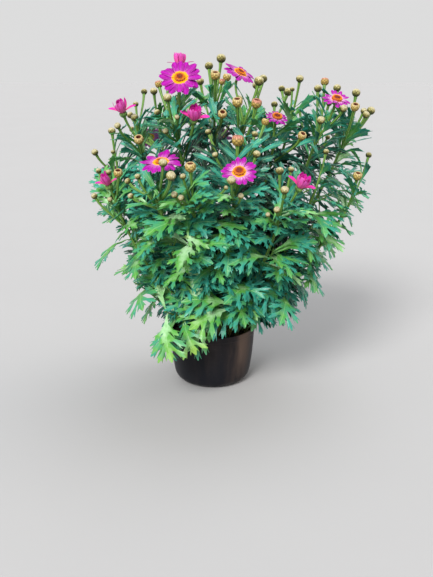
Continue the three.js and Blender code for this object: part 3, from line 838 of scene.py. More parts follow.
def rod_shape(name, sides, steps):
    """An upright rod of radius 1 and height 1 with closed ends, cut into steps."""
    bm = bmesh.new()
    bmesh.ops.create_cone(bm, cap_ends=True, segments=sides, radius1=1, radius2=1, depth=1)
    bmesh.ops.translate(bm, verts=bm.verts, vec=(0, 0, 0.5))
    for k in range(1, steps):
        geometry = bm.verts[:] + bm.edges[:] + bm.faces[:]
        bmesh.ops.bisect_plane(bm, geom=geometry, plane_co=(0, 0, k / steps), plane_no=UP)
    return Shape(name, bm)


def spun_mesh(profile, segments):
    """A bmesh turned about the upright axis from [radius, height] points that start and end on it."""
    bm = bmesh.new()
    corners = [bm.verts.new((radius, 0, height)) for radius, height in profile]
    edges = [bm.edges.new(pair) for pair in zip(corners, corners[1:])]
    bmesh.ops.spin(
        bm, geom=corners + edges, cent=(0, 0, 0), axis=UP, angle=FULL_TURN, steps=segments, use_merge=True
    )
    bmesh.ops.remove_doubles(bm, verts=bm.verts, dist=1e-4)
    return bm


def ribbed_shape(name, profile, segments, depth, material=0):
    """A turned shape whose every other meridian is drawn in a little."""
    bm = spun_mesh(profile, segments)
    for vert in bm.verts:
        turn = math.atan2(vert.co.y, vert.co.x)
        share = 1 - depth * (0.5 - 0.5 * math.cos(turn * segments / 2)) * min(1, abs(vert.co.z + 1))
        vert.co.x *= share
        vert.co.y *= share
    return Shape(name, bm, material)


def ray_shape(name, thickness, grooves=0.03):
    """A ray one unit long on X and about two units wide on Y, with grooves along it and a notched tip."""
    bm = bmesh.new()
    bmesh.ops.create_grid(bm, x_segments=7, y_segments=4, size=1)
    for vert in bm.verts:
        share = (vert.co.x + 1) / 2
        across = vert.co.y
        tip = max(0, share - 0.7) / 0.3
        notch = (0.12 * across**2 + 0.035 * math.cos(across * FULL_TURN)) * tip
        narrow = 0.4 + 0.6 * math.sin(min(1, share / 0.66) * math.pi / 2)
        vert.co.x = share - notch
        vert.co.y = across * narrow * (1 - 0.42 * tip**2)
        vert.co.z = grooves * math.cos(across * FULL_TURN) * (1 - tip * 0.5)
    face_up(bm)
    bmesh.ops.solidify(bm, geom=bm.faces[:], thickness=thickness)
    return Shape(name, bm)


def floret_shape():
    """A tiny tube of the disc, with a flared end."""
    bm = bmesh.new()
    bmesh.ops.create_cone(bm, cap_ends=True, segments=5, radius1=0.55, radius2=0.8, depth=2)
    top = max(bm.faces, key=lambda face: face.calc_center_median().z)
    bmesh.ops.inset_region(bm, faces=[top], thickness=0.3, use_even_offset=True)
    bmesh.ops.translate(bm, verts=top.verts, vec=(0, 0, -0.4))
    return Shape("floret", bm)


class Value:
    """What a node of a material puts out, for sums in plain signs."""

    def __init__(self, finish, socket):
        self.finish = finish
        self.socket = socket

    def maths(self, operation, other=0.0):
        return self.finish.node("ShaderNodeMath", {0: self, 1: other}, operation=operation)

    def __add__(self, other):
        return self.maths("ADD", other)

    def __sub__(self, other):
        return self.maths("SUBTRACT", other)

    def __mul__(self, other):
        return self.maths("MULTIPLY", other)

    def __abs__(self):
        return self.maths("ABSOLUTE")

    def most(self, other):
        return self.maths("MAXIMUM", other)

    def between(self, low, high, start=0.0, end=1.0):
        """Moves from start to end while the value goes from low to high."""
        values = {"Value": self, "From Min": low, "From Max": high, "To Min": start, "To Max": end}
        return self.finish.node("ShaderNodeMapRange", values, interpolation_type="SMOOTHSTEP")

    def blend(self, low, high):
        """A colour between low and high, by the value as a share."""
        return self.finish.node("ShaderNodeMix", {0: self, 6: low, 7: high}, 2, data_type="RGBA")


class Finish:
    """A material under way, with short ways to add a node and to join it."""

    def __init__(self, name, **values):
        self.material = bpy.data.materials.new(name)
        self.material.use_nodes = True
        self.tree = self.material.node_tree
        self.shader = self.tree.nodes["Principled BSDF"]
        for socket, value in values.items():
            self.shader.inputs[socket.replace("_", " ")].default_value = value

    def node(self, kind, values, output=0, **settings):
        node = self.tree.nodes.new(kind)
        for name, value in settings.items():
            setattr(node, name, value)
        for socket, value in values.items():
            self.join(node.inputs[socket], value)
        return Value(self, node.outputs[output])

    def join(self, socket, value):
        if isinstance(value, Value):
            self.tree.links.new(value.socket, socket)
        elif socket.type == "RGBA":
            socket.default_value = (*value[:3], 1)
        else:
            socket.default_value = value

    def ramp(self, value, *stops):
        made = self.node("ShaderNodeValToRGB", {"Fac": value})
        elements = made.socket.node.color_ramp.elements
        for _ in stops[2:]:
            elements.new(1)
        for element, (position, colour) in zip(elements, stops):
            element.position = position
            element.color = (*colour[:3], 1)
        return made

    def parts(self, vector):
        """The x, y and z of a vector."""
        split = self.node("ShaderNodeSeparateXYZ", {0: vector}).socket.node
        return [Value(self, socket) for socket in split.outputs]

    def place(self):
        return self.node("ShaderNodeTexCoord", {}, "Object")

    def shape(self):
        """The three own coordinates of the shape under the surface."""
        return self.parts(self.node("ShaderNodeAttribute", {}, "Vector", attribute_name="shape"))

    def tone(self):
        return self.node("ShaderNodeAttribute", {}, "Fac", attribute_name="tone")

    def grain(self, scale, detail=2.0, vector=None, roughness=0.5):
        values = {"Vector": vector or self.place(), "Scale": scale, "Detail": detail, "Roughness": roughness}
        return self.node("ShaderNodeTexNoise", values)

    def patches(self, scale, detail, start, end):
        """Soft patches that go from start to end."""
        return self.grain(scale, detail).between(0.3, 0.7, start, end)

    def bumped(self, height, distance, strength):
        values = {"Height": height, "Distance": distance, "Strength": strength}
        self.join(self.shader.inputs["Normal"], self.node("ShaderNodeBump", values))

    def coloured(self, colour, roughness=None):
        self.join(self.shader.inputs["Base Color"], colour)
        if roughness is not None:
            self.join(self.shader.inputs["Roughness"], roughness)
        return self.material


def leaf_finish(look):
    """Leaf green by the tone of each leaf, which holds painted shade deep in the bush and a painted highlight
    on the paler leaves; fresher down its middle, with a pale rib and faint veins.
    """
    finish = Finish("leaf_green", Specular_IOR_Level=0.3)
    along, across, _ = finish.shape()
    tone, side = finish.tone(), abs(across)
    mottled_tone = tone + finish.patches(65, 3, -0.1, 0.1)
    fresh = along.between(0.2, 0.85, 0.12, -0.06) + side.between(0.02, 0.16, 0.07, -0.08)
    old = tone.between(0.68, 0.75)
    green = finish.ramp(
        mottled_tone + fresh - old * 0.32,
        (0.0, look.leaf_shade), (0.3, look.leaf_teal), (0.58, look.leaf_green), (0.84, look.leaf_young_and_highlight),
        (1.0, look.leaf_yellow),
    )
    cycle = ((along - side * 0.9) * 13.0).maths("FRACT")
    veins = abs(cycle - 0.5).between(0.03, 0.13, 1, 0) * along.between(0.2, 0.4, 0, 0.35)
    pale = side.between(0.004, 0.012, 1, 0).most(veins)
    veined = (pale * 0.4).blend(green, look.leaf_rib)
    worn = along.between(0.5, 1.0) * old * 0.75
    finish.bumped(pale * -0.6 + finish.grain(420, 2), 0.0004, 0.7)
    return finish.coloured(worn.blend(veined, look.leaf_yellow), finish.patches(220, 2, 0.26, 0.42))


def stalk_finish(look):
    """Light green stems with darker ridges and a dull bloom, woodier near the soil."""
    finish = Finish("stalk_green", Roughness=0.5, Specular_IOR_Level=0.3)
    x, y, _ = finish.shape()
    ridge = (y.maths("ARCTAN2", x) * 5.0).maths("SINE").between(-0.8, 0.8)
    _, _, height = finish.parts(finish.place())
    green = ridge.blend(look.stalk_dark, look.stalk_light)
    mottled = finish.grain(160, 3).between(0.45, 0.75, 0, 0.4).blend(green, look.stalk_dark)
    finish.bumped(ridge + finish.grain(500, 2), 0.0003, 0.5)
    return finish.coloured(height.between(0.07, 0.16, 0.75, 0).blend(mottled, look.stalk_wood))


def bract_lines(height, x, y, rows, count):
    """Overlapping bracts: 1 on the dark line under each rounded bract tip, and 0 elsewhere."""
    turn = y.maths("ARCTAN2", x) * (count / FULL_TURN)
    level = height * rows
    shifted = (turn + level.maths("FLOOR") * 0.5).maths("FRACT")
    arch = abs((shifted - 0.5) * 2.0).maths("POWER", 2.0) * 0.7
    return abs(level.maths("FRACT") + arch - 0.82).between(0.05, 0.26, 1, 0)


def bud_finish(look):
    """Buds that go from olive bracts to cream, streaked lengthwise, with a dark middle where they open."""
    finish = Finish("bud_cream", Roughness=0.5, Specular_IOR_Level=0.3)
    x, y, z = finish.shape()
    tone = finish.tone()
    plain = finish.ramp(
        (z + finish.patches(260, 3, -0.22, 0.22)).between(-0.8, 1.05),
        (0.0, look.bud_base), (0.3, look.bud_olive), (0.6, look.bud_yellow), (0.88, look.bud_cream),
    )
    bracts = bract_lines(z, x, y, 2.8, 7) * z.between(0.1, 0.6, 1, 0.3)
    streak = abs((y.maths("ARCTAN2", x) * (14 / FULL_TURN)).maths("FRACT") - 0.5)
    marks = bracts.most(streak.between(0.06, 0.3, 1, 0) * z.between(0, 0.4, 0, 0.8))
    golden = tone.between(0.3, 0.45, 0, 0.5).blend(plain, look.bud_gold)
    pink = tone.between(0.6, 0.9) * z.between(0.05, 0.6, 0, 0.75)
    lined = (marks * 0.85).blend(pink.blend(golden, look.bud_pink), look.bud_brown)
    inside = (x * x + y * y).maths("SQRT").between(0.44, 0.58, 1, 0) * z.between(-0.05, 0.02)
    opened = inside * tone.between(0.2, 0.35)
    finish.bumped(marks * -1.0 + finish.grain(600, 2), 0.0005, 0.8)
    return finish.coloured(opened.blend(lined, look.bud_middle))


def calyx_finish(look):
    """The green cup of bracts under an open flower, each bract with a dark edge."""
    finish = Finish("calyx_green", Roughness=0.5)
    x, y, z = finish.shape()
    lines = bract_lines(z * 0.125, x, y, 3.0, 9)
    green = finish.grain(260, 2).between(0.35, 0.7).blend(look.stalk_dark, look.stalk_light)
    finish.bumped(lines, 0.0004, 0.8)
    return finish.coloured((lines * 0.6).blend(green, look.bud_brown))


def ray_finish(look, name, foot, tip, deep, pale_back):
    """Petal colour from foot to tip, streaked along the ray, with painted shade in the grooves and at the
    edges; the foot of an open flower's ray is yellow, with a pale halo over it by the flower's tone."""
    finish = Finish(name, Roughness=0.5, Specular_IOR_Level=0.1)
    along, across, up = finish.shape()
    tone = finish.tone()
    streaks = finish.node("ShaderNodeCombineXYZ", {0: along * 0.8, 1: across * 7.0})
    fibre = finish.grain(1.6, 3, streaks)
    # Painted shade: the grooves and edges of each ray are darkened towards the deep colour
    groove = (across * FULL_TURN).maths("COSINE").between(-1, 0.2, 1, 0)
    dark = (groove * 0.5).most(abs(across).between(0.6, 0.9, 0, 0.5))
    depth = fibre.between(0.5, 0.3, 0, 0.7) + dark
    colour = depth.blend(along.between(0.2, 0.9).blend(foot, tip), deep)
    ragged = along + fibre.between(0.38, 0.62, 0.2, -0.2)
    halo = ragged.between(0.24, 0.62, 1, 0) * tone
    lines = fibre.between(0.54, 0.68, 0, 0.4) * along.between(0.9, 0.2)
    under = fibre.between(0.42, 0.6, 0, pale_back) * up.between(-0.03, -0.08)
    pale = halo.most(lines).most(under).blend(colour, look.ray_halo)
    sunny = along.between(0.22, 0.31, 1, 0) * tone.between(0, 0.05)
    finish.bumped(fibre - groove, 0.0003, 0.6)
    return finish.coloured(sunny.blend(pale, look.ray_foot))


def disc_finish(look):
    """Florets that go from yellow outside through orange to a maroon middle, by the tone of each."""
    finish = Finish("disc_florets", Roughness=0.6)
    colour = finish.ramp(
        finish.tone() + finish.patches(900, 1, -0.06, 0.06),
        (0.0, look.disc_maroon), (0.38, look.disc_maroon), (0.5, look.disc_red), (0.63, look.disc_orange),
        (0.8, look.disc_yellow),
    )
    finish.bumped(finish.grain(1500, 1), 0.0002, 0.5)
    return finish.coloured(colour)


def pot_finish(look):
    """Thin black plastic with a dull satin skin, fine flow marks, scuffs and a painted warm reflection in two
    streaks, mottled like dried soil.
    """
    finish = Finish("pot_plastic", Specular_IOR_Level=0.12)
    place = finish.place()
    x, y, height = finish.parts(place)
    drawn = finish.node("ShaderNodeMapping", {"Vector": place, "Scale": (1, 1, 0.12)})
    flow = finish.grain(34, 4, drawn)
    turn = y.maths("ARCTAN2", x)
    # Painted warm reflection: two upright streaks, facing the front right and just left of the front,
    # stronger towards the rim, mottled in the colour of dried soil
    right, left = (
        abs(turn - math.radians(way)).between(0.05, reach, strength, 0.12)
        for way, reach, strength in ((-48, 0.5, 1), (-104, 0.25, 0.5))
    )
    reflection_streaks = right.most(left) * height.between(0.004, 0.085, 0.35, 0.9)
    dusty_reflection = finish.grain(26, 5, drawn, 0.6).between(0.35, 0.7) * reflection_streaks
    dust_and_reflection = dusty_reflection.blend(look.pot_black, look.pot_dust_and_reflection)
    scuffs = finish.grain(240, 4, place, 0.7).between(0.62, 0.72, 0, 0.25)
    finish.bumped(flow + finish.grain(700, 2) * 0.2, 0.0006, 0.35)
    return finish.coloured(scuffs.blend(dust_and_reflection, look.pot_scuff), flow.between(0.3, 0.7, 0.3, 0.5))


def soil_finish(look):
    """Dark moist potting soil with lighter fibres and specks."""
    finish = Finish("soil_crumb", Roughness=0.92)
    clumps = finish.grain(150, 5, roughness=0.65).between(0.35, 0.7).blend(look.soil_dark, look.soil_brown)
    fibres = finish.grain(900, 2).between(0.66, 0.74, 0, 0.5)
    finish.bumped(finish.grain(420, 5, roughness=0.7), 0.0012, 0.9)
    return finish.coloured(fibres.blend(clumps, look.soil_fibre))


def number(name, description, default, most, least=0):
    return bpy.props.IntProperty(name=name, description=description, default=default, min=least, max=most)


def tint(name, description, default):
    return bpy.props.FloatVectorProperty(
        name=name, description=description, default=default, size=3, min=0, max=1, subtype="COLOR"
    )


class DaisySettings(bpy.types.PropertyGroup):
    """The sizes and colours of the daisy that can be changed."""

    stem_leaves: number("Leaves a stem", "Filling leaves tried on each stem", 11, 60)
    shoot_leaves: number("Leaves a shoot", "Filling leaves tried on each low shoot", 6, 40)
    hanging_leaves: number("Hanging leaves", "Drooping leaves tried on each low shoot", 4, 20)
    top_leaves: number("Top leaves", "Upright leaves tried at the top of each stem", 7, 40)
    twigs: number("Twigs a stem", "Short leafy twigs tried on each stem", 3, 8)
    rays: number("Rays", "Rays round an open flower", 16, 24, 8)
    # Painted shade: the darkest tone, towards which leaves deep inside the bush are darkened
    leaf_shade: tint("Old leaf", "The darkest, oldest leaves", (0.002, 0.022, 0.012))
    leaf_teal: tint("Blue-green leaf", "Leaves of the upper bush", (0.027, 0.25, 0.19))
    leaf_green: tint("Green leaf", "Leaves of the middle of the bush", (0.074, 0.28, 0.038))
    # Pale mint of young leaves, which also serves as a painted highlight on the paler outer leaves
    leaf_young_and_highlight: tint("Young leaf", "Fresh leaves", (0.39, 0.62, 0.38))
    leaf_yellow: tint("Yellow leaf", "Leaf tips that turn yellow", (0.34, 0.54, 0.08))
    leaf_rib: tint("Leaf rib", "Midrib and veins", (0.26, 0.5, 0.2))
    stalk_light: tint("Stem", "Ridges of the stems", (0.18, 0.32, 0.055))
    stalk_dark: tint("Stem shade", "Grooves of the stems", (0.05, 0.14, 0.03))
    stalk_wood: tint("Stem foot", "Woody foot of the stems", (0.13, 0.1, 0.045))
    bud_cream: tint("Bud", "Closed rays of a bud", (0.6, 0.55, 0.34))
    bud_yellow: tint("Bud yellow", "Yellow patches of a bud", (0.36, 0.33, 0.11))
    bud_gold: tint("Opening bud", "Golden bracts of the buds that open", (0.62, 0.39, 0.09))
    bud_pink: tint("Bud pink", "Tips of the buds that open pink", (0.56, 0.17, 0.16))
    bud_brown: tint("Bract edge", "Lines between the bracts", (0.05, 0.028, 0.008))
    bud_olive: tint("Bud base", "Lower bracts of a bud", (0.1, 0.09, 0.02))
    bud_base: tint("Bud foot", "Green foot of a bud", (0.03, 0.05, 0.01))
    bud_middle: tint("Bud middle", "Dark middle of an opening bud", (0.11, 0.022, 0.007))
    ray_tint: tint("Ray", "Rays of the open flowers", (0.34, 0.003, 0.31))
    # Used both for the streaks and for the painted shade in the grooves and at the edges of the rays
    ray_deep: tint("Ray shade", "Streaks of the rays", (0.15, 0.002, 0.11))
    ray_foot: tint("Ray foot", "Yellow foot of the rays", (0.8, 0.34, 0.005))
    ray_halo: tint("Ray base", "Pale base and edge of the rays", (0.8, 0.55, 0.78))
    cup_tint: tint("Half-open ray", "Rays of the half-open flowers", (0.8, 0.045, 0.29))
    cup_tip: tint("Half-open tip", "Tips of the half-open rays", (0.55, 0.02, 0.38))
    # Used both for the streaks and for the painted shade in the grooves and at the edges of the half-open
    # rays
    cup_deep: tint("Half-open shade", "Streaks of the half-open rays", (0.5, 0.015, 0.2))
    disc_yellow: tint("Disc edge", "Outer florets", (0.8, 0.42, 0.01))
    disc_orange: tint("Disc orange", "Florets between", (0.72, 0.17, 0.005))
    disc_red: tint("Disc red", "Inner florets", (0.42, 0.05, 0.006))
    disc_maroon: tint("Disc middle", "Middle florets", (0.07, 0.006, 0.008))
    pot_black: tint("Pot", "Plastic of the pot", (0.0078, 0.0086, 0.012))
    # Colour of the painted warm reflection streaks on the pot, mottled like a film of dried soil
    pot_dust_and_reflection: tint("Pot dust", "Film of dried soil on the pot", (0.125, 0.083, 0.063))
    pot_scuff: tint("Pot scuffs", "Fine scratches of the pot", (0.05, 0.048, 0.048))
    soil_dark: tint("Soil", "Moist potting soil", (0.012, 0.008, 0.006))
    soil_brown: tint("Soil crumbs", "Drier crumbs of the soil", (0.05, 0.03, 0.018))
    soil_fibre: tint("Soil fibres", "Fibres in the soil", (0.16, 0.1, 0.05))
    floor_colour: tint("Floor", "Floor that the pot stands on", (0.33, 0.331, 0.34))


# Each light's name, place in metres, spread in degrees, strength and colour
LIGHTS = (
    ("key", (-0.55, -1.2, 1.05), 22, 4.5, (1, 0.98, 0.94)),
    ("side", (1.9, 0.5, 0.9), 40, 0.8, (1, 0.86, 0.74)),
    ("top", (0.5, 0.9, 2.5), 40, 1.2, (0.95, 0.98, 1)),
)
SKY_STRENGTH = 0.72
FLOOR_RADIUS = 14
CAMERA_PLACE = (0.0066, -1.0, 0.47)
CAMERA_LENS = 43.67
CAMERA_DIP = 18.2


class DAISY_OT_stage(bpy.types.Operator):
    """Lays the pale floor and sets the soft lights and the camera"""

    bl_idname = "daisy.stage"
    bl_label = "Stage"

    def execute(self, context):
        scene = context.scene
        bm = bmesh.new()
        bmesh.ops.create_circle(bm, cap_ends=True, segments=96, radius=FLOOR_RADIUS)
        floor = linked("floor", mesh_from("floor", bm))
        finish = Finish("floor_paint", Roughness=0.85)
        shade = finish.patches(3, 3, 0.985, 1)
        floor.data.materials.append(finish.coloured(shade.blend((0, 0, 0), scene.daisy.floor_colour)))
        for name, place, spread, strength, colour in LIGHTS:
            lamp = bpy.data.lights.new(name, "SUN")
            lamp.angle = math.radians(spread)
            lamp.energy = strength
            lamp.color = colour
            holder = linked(name, lamp)
            holder.location = place
            holder.rotation_euler = Vector(place).to_track_quat("Z", "Y").to_euler()
        world = bpy.data.worlds.new("studio")
        world.use_nodes = True
        colour, strength = world.node_tree.nodes["Background"].inputs[:2]
        colour.default_value = (1, 1, 1, 1)
        strength.default_value = SKY_STRENGTH
        scene.world = world
        scene.view_settings.view_transform = "Standard"
        camera = bpy.data.cameras.new("camera")
        camera.lens = CAMERA_LENS
        camera.sensor_width = 36
        camera.clip_end = 100
        scene.camera = linked("camera", camera)
        scene.camera.location = CAMERA_PLACE
        scene.camera.rotation_euler = (math.radians(90 - CAMERA_DIP), 0, 0)
        return {"FINISHED"}


def wall_at(height):
    """The outer radius of the pot's wall, which bows out a little."""
    return POT_RIM_RADIUS - RIM_BAND_DEPTH - POT_BOW * (1 - height / POT_HEIGHT) ** 2


def foot_corner(turn, wall=0):
    """A point of the pot's rounded foot, turn degrees round from its underside and wall mm inside."""
    out, up = math.sin(math.radians(turn)), math.cos(math.radians(turn))
    size = FOOT_ROUNDING - wall
    return POT_FOOT_RADIUS + out * size, FOOT_ROUNDING - up * size


class DAISY_OT_pot(bpy.types.Operator):
    """Turns the thin tapered pot with its rim band and cuts its drain holes"""

    bl_idname = "daisy.pot"
    bl_label = "Pot"

    def execute(self, context):
        rim, top = POT_RIM_RADIUS, POT_HEIGHT
        band = top - RIM_BAND_HEIGHT
        wall = wall_at(band)
        inner = wall_at(top) - POT_WALL
        profile = (
            (0, 0), (POT_FOOT_RADIUS - 2, 0), *(foot_corner(turn) for turn in range(0, 81, 10)),
            *((wall_at(height), height) for height in (20, 28, 36, 45, 54, 62, 70)),
            (wall - 0.05, band - 0.6), (wall + 0.1, band), (wall + RIM_BAND_DEPTH, band + 0.8),
            (wall + RIM_BAND_DEPTH + 0.1, band + 1.6),
            (rim - 0.15, top - 0.9), (rim - 0.25, top - 0.25), (rim - 0.8, top),
            (inner + 0.7, top), (inner + 0.1, top - 0.4), (inner - 0.1, top - 1.4),
            *((wall_at(height) - POT_WALL, height) for height in (72, 58, 45, 34, 24)),
            *(foot_corner(turn, POT_WALL) for turn in (80, 60, 40, 20)),
            (POT_FOOT_RADIUS - 1, POT_FLOOR), (0, POT_FLOOR),
        )
        bm = spun_mesh(profile, 96)
        bmesh.ops.recalc_face_normals(bm, faces=bm.faces)
        drills = bmesh.new()
        for k in range(DRAIN_HOLES):
            turn = (k + 0.5) * FULL_TURN / DRAIN_HOLES
            made = bmesh.ops.create_cone(
                drills, cap_ends=True, segments=24, radius1=DRAIN_RADIUS, radius2=DRAIN_RADIUS, depth=6
            )
            place = (DRAIN_CIRCLE * math.cos(turn), DRAIN_CIRCLE * math.sin(turn), 1)
            bmesh.ops.translate(drills, verts=made["verts"], vec=place)
        for shape in (bm, drills):
            bmesh.ops.scale(shape, vec=(MM, MM, MM), verts=shape.verts)
        pot, cutter = linked("plain", mesh_from("plain", bm)), linked("drills", mesh_from("drills", drills))
        cut = pot.modifiers.new("drain_holes", "BOOLEAN")
        cut.operation = "DIFFERENCE"
        cut.object = cutter
        cut.solver = "EXACT"
        context.view_layer.update()
        mesh = bpy.data.meshes.new_from_object(pot.evaluated_get(context.evaluated_depsgraph_get()))
        for helper in (pot, cutter):
            bpy.data.objects.remove(helper)
        mesh.name = "pot_finished"
        for polygon in mesh.polygons:
            polygon.use_smooth = True
        mesh.set_sharp_from_angle(angle=SHARP)
        dressed("pot_finished", mesh, [pot_finish(context.scene.daisy)], "pot", "pot")
        return {"FINISHED"}


class DAISY_OT_soil(bpy.types.Operator):
    """Fills the pot with crumbly soil"""

    bl_idname = "daisy.soil"
    bl_label = "Soil"

    def execute(self, context):
        shoulder = SOIL_HEIGHT - SOIL_MOUND
        edge = wall_at(shoulder) - POT_WALL - SOIL_GAP

        def mound_at(share):
            return mix(SOIL_HEIGHT, shoulder, (share - 0.75) / 0.25)

        profile = (
            (0, POT_FLOOR + SEAT_GAP), (POT_FOOT_RADIUS - 3, POT_FLOOR + SEAT_GAP),
            *(foot_corner(turn, POT_WALL + 0.8) for turn in (30, 55, 80)),
            *((wall_at(z) - POT_WALL - SOIL_GAP, z) for z in (30, 50, shoulder)),
            *((edge * share, mound_at(share)) for share in
              (0.96, 0.9, 0.84, 0.78, 0.7, 0.62, 0.54, 0.46, 0.38, 0.3, 0.22, 0.14, 0.07)),
            (0, SOIL_HEIGHT),
        )
        bm = spun_mesh(profile, 72)
        for vert in bm.verts:
            if vert.co.z > shoulder + 0.1:
                crumbs = noise.fractal(vert.co * 0.16, 0.8, 2.1, 4)
                vert.co.z += max(-1.6, min(1.6, crumbs * 2.4)) - 0.6
        body = Shape("soil_body", bm)
        bm = bmesh.new()
        bmesh.ops.create_icosphere(bm, subdivisions=1, radius=1)
        for vert in bm.verts:
            vert.co *= 1 + 0.3 * noise.noise(vert.co * 3)
        crumb = Shape("soil_crumb", bm)
        piece = Piece("soil_crumbly")
        piece.add(body, body.points)
        draw = random.Random(7)
        for _ in range(CRUMBS):
            turn = draw.uniform(0, FULL_TURN)
            out = edge * 0.97 * math.sqrt(draw.random())
            size = draw.uniform(0.5, 1.5) * (1.4 if draw.random() < 0.12 else 1)
            squeeze = np.array([draw.uniform(0.7, 1.2) for _ in range(3)])
            place = np.array((out * math.cos(turn), out * math.sin(turn), mound_at(out / edge) - 0.3))
            piece.add(crumb, crumb.points * squeeze * size + place, draw.random())
        piece.finish([soil_finish(context.scene.daisy)], "soil", "soil")
        return {"FINISHED"}


def stem_pieces(prefix, materials, slot):
    """Each plant with a piece of its stem, which is finished once it has been filled."""
    for plant in plant_rows():
        piece = Piece(prefix + plant.name)
        yield plant, piece
        piece.finish(materials, slot, "stem_" + plant.name)


# Radii in mm at shares of the way up
STEM_RADII = ((0, 2.8), (0.25, 2.5), (0.8, 2.1), (1, 1.7))
SHOOT_RADII = ((0, 1.7), (0.3, 1.4), (1, 0.9))
TWIG_RADII = ((0, 1.2), (1, 0.7))


def rod_places(rod, curve, radii):
    """Bends a rod along a curve, with radii as [share of the way, radius] pairs."""
    flat = np.cross(curve.corners[3] - curve.corners[0], UP)
    across = unit(flat) if np.linalg.norm(flat) > 1 else np.array((1.0, 0.0, 0.0))
    rings = {}
    places = []
    for x, y, share in rod.points:
        key = round(share, 3)
        if key not in rings:
            tangent = curve.tangent(share)
            first = unit(across - tangent * tangent.dot(across))
            rings[key] = (curve.at(share), first, np.cross(tangent, first), read_off(radii, share))
        middle, first, second, size = rings[key]
        places.append(middle + (first * x + second * y) * size)
    return np.array(places)


class DAISY_OT_stalks(bpy.types.Operator):
    """Grows the ridged stems, side shoots, twigs and flower stalks"""

    bl_idname = "daisy.stalks"
    bl_label = "Stems and stalks"

    def execute(self, context):
        thick = rod_shape("stem_rod", 10, 18)
        thin = rod_shape("stalk_rod", 7, 8)
        for plant, piece in stem_pieces("stalks_", [stalk_finish(context.scene.daisy)], "stalk"):
            rods = [(thick, plant.curve, STEM_RADII)]
            if plant.shoot:
                rods.append((thick, plant.shoot, SHOOT_RADII))
            rods += [(thin, twig, TWIG_RADII) for twig in plant.twigs]
            for head in plant.heads:
                size = head.radius if head.kind == "bud" else 5
                thin_part = 0.8 + 0.14 * size
                radii = ((0, thin_part), (0.6, thin_part), (0.9, thin_part * 1.2), (1, 0.46 * size))
                rods.append((thin, head.stalk, radii))
            for rod, curve, radii in rods:
                piece.add(rod, rod_places(rod, curve, radii))
        return {"FINISHED"}


# The tone of the lowest and the highest leaves, the share of them that is paler, and what the tone gains or
# loses for what a leaf is and where it stands; 0 is dark and 1 is yellow. The loss deep inside the bush is
# painted shade, and the paler leaves are young leaves with a painted highlight.
LEAF_TONES = (0.61, 0.5)
LEAF_TONE_SPREAD = 0.06
PALE_HIGHLIGHT_SHARES = (0.5, 0.2)
PALE_HIGHLIGHT_GAIN = 0.16
INNER_PAINTED_SHADE = 0.65
PLAIN_LOSS = 0.12
SIDE_LOSS = 0.12
SIDE_FROM_MIDDLE = 120
# Leaves that start further left, nearer the front and lower than this turn the yellowest
SUNNY_CORNER = (35, 0, 100)


def leaf_tone(leaf, draw):
    """A leaf's tone, darker at the sides of the bush and darkened deep inside it as painted shade; the paler
    leaves are young leaves with a painted highlight.
    """
    inside = inwards(leaf)
    height = leaf.height * 1.1
    # Deep inside the bush the tone is lowered as painted shade
    tone = mix(*LEAF_TONES, height) + draw.gauss(0, LEAF_TONE_SPREAD) - INNER_PAINTED_SHADE * inside
    # Paler outer leaves: young leaves' colour with a painted highlight
    if draw.random() < mix(*PALE_HIGHLIGHT_SHARES, height):
        tone += PALE_HIGHLIGHT_GAIN * max(0, 1 - 2 * inside)
    if leaf.lobes == PLAIN_LOBES:
        tone -= PLAIN_LOSS
    tone -= SIDE_LOSS * min(1, abs(leaf.foot[0]) / SIDE_FROM_MIDDLE)
    if all(leaf.foot < SUNNY_CORNER):
        tone = max(tone, 0.6) + 0.1
    return max(0.02, min(tone, 0.75 if leaf.height < 0.2 else 0.7))


class DAISY_OT_leaves(bpy.types.Operator):
    """Grows the lobed leaves of every stem"""

    bl_idname = "daisy.leaves"
    bl_label = "Leaves"

    def execute(self, context):
        shapes = {
            lobes: leaf_shape(name, lobes, widest, thickness) for name, lobes, widest, thickness in (
                ("leaf_broad", BROAD_LOBES, 0.04, 0.008), ("leaf_narrow", NARROW_LOBES, 0.05, 0.009),
                ("leaf_slim", SLIM_LOBES, 0.07, 0.009), ("leaf_plain", PLAIN_LOBES, 0.09, 0.01),
            )
        }
        draw = random.Random(23)
        for plant, piece in stem_pieces("leaves_", [leaf_finish(context.scene.daisy)], "foliage"):
            for leaf in plant.leaves:
                shape = shapes[leaf.lobes]
                points = shape.points.copy()
                points[:, 1] *= draw.uniform(0.88, 1.08)
                points[:, 2] += points[:, 1] * points[:, 0] * draw.uniform(-0.35, 0.35)
                piece.add(shape, leaf_places(leaf, points), leaf_tone(leaf, draw))
        return {"FINISHED"}


class DAISY_OT_buds(bpy.types.Operator):
    """Sets the round buds and the green cups of bracts under the flowers"""

    bl_idname = "daisy.buds"
    bl_label = "Buds"

    def execute(self, context):
        look = context.scene.daisy
        closed = ribbed_shape("bud_closed", BUD_OUTLINE, 12, 0.06)
        ring = ribbed_shape("bud_ring", RING_OUTLINE, 14, 0.08)
        kinds = {"closed": (closed, 0.1), "ring": (ring, 0.5), "pink": (ring, 0.95)}
        under = {
            "bloom": ribbed_shape("calyx_open", CALYX_OUTLINE, 18, 0.05, 1),
            "cup": ribbed_shape("calyx_cup", CUP_CALYX_OUTLINE, 16, 0.05, 1),
        }
        for plant, piece in stem_pieces("buds_", [bud_finish(look), calyx_finish(look)], "bud"):
            for head in plant.heads:
                if head.kind == "bud":
                    shape, tone = kinds[head.look]
                    piece.add(shape, placed_head(head, shape.points * head.radius), tone)
                else:
                    shape = under[head.kind]
                    piece.add(shape, placed_head(head, shape.points))
        return {"FINISHED"}


def turned(x, y, z, turn):
    """Points turned about the upright axis."""
    out, aside = math.cos(turn), math.sin(turn)
    return np.stack((x * out - y * aside, x * aside + y * out, z), axis=1)


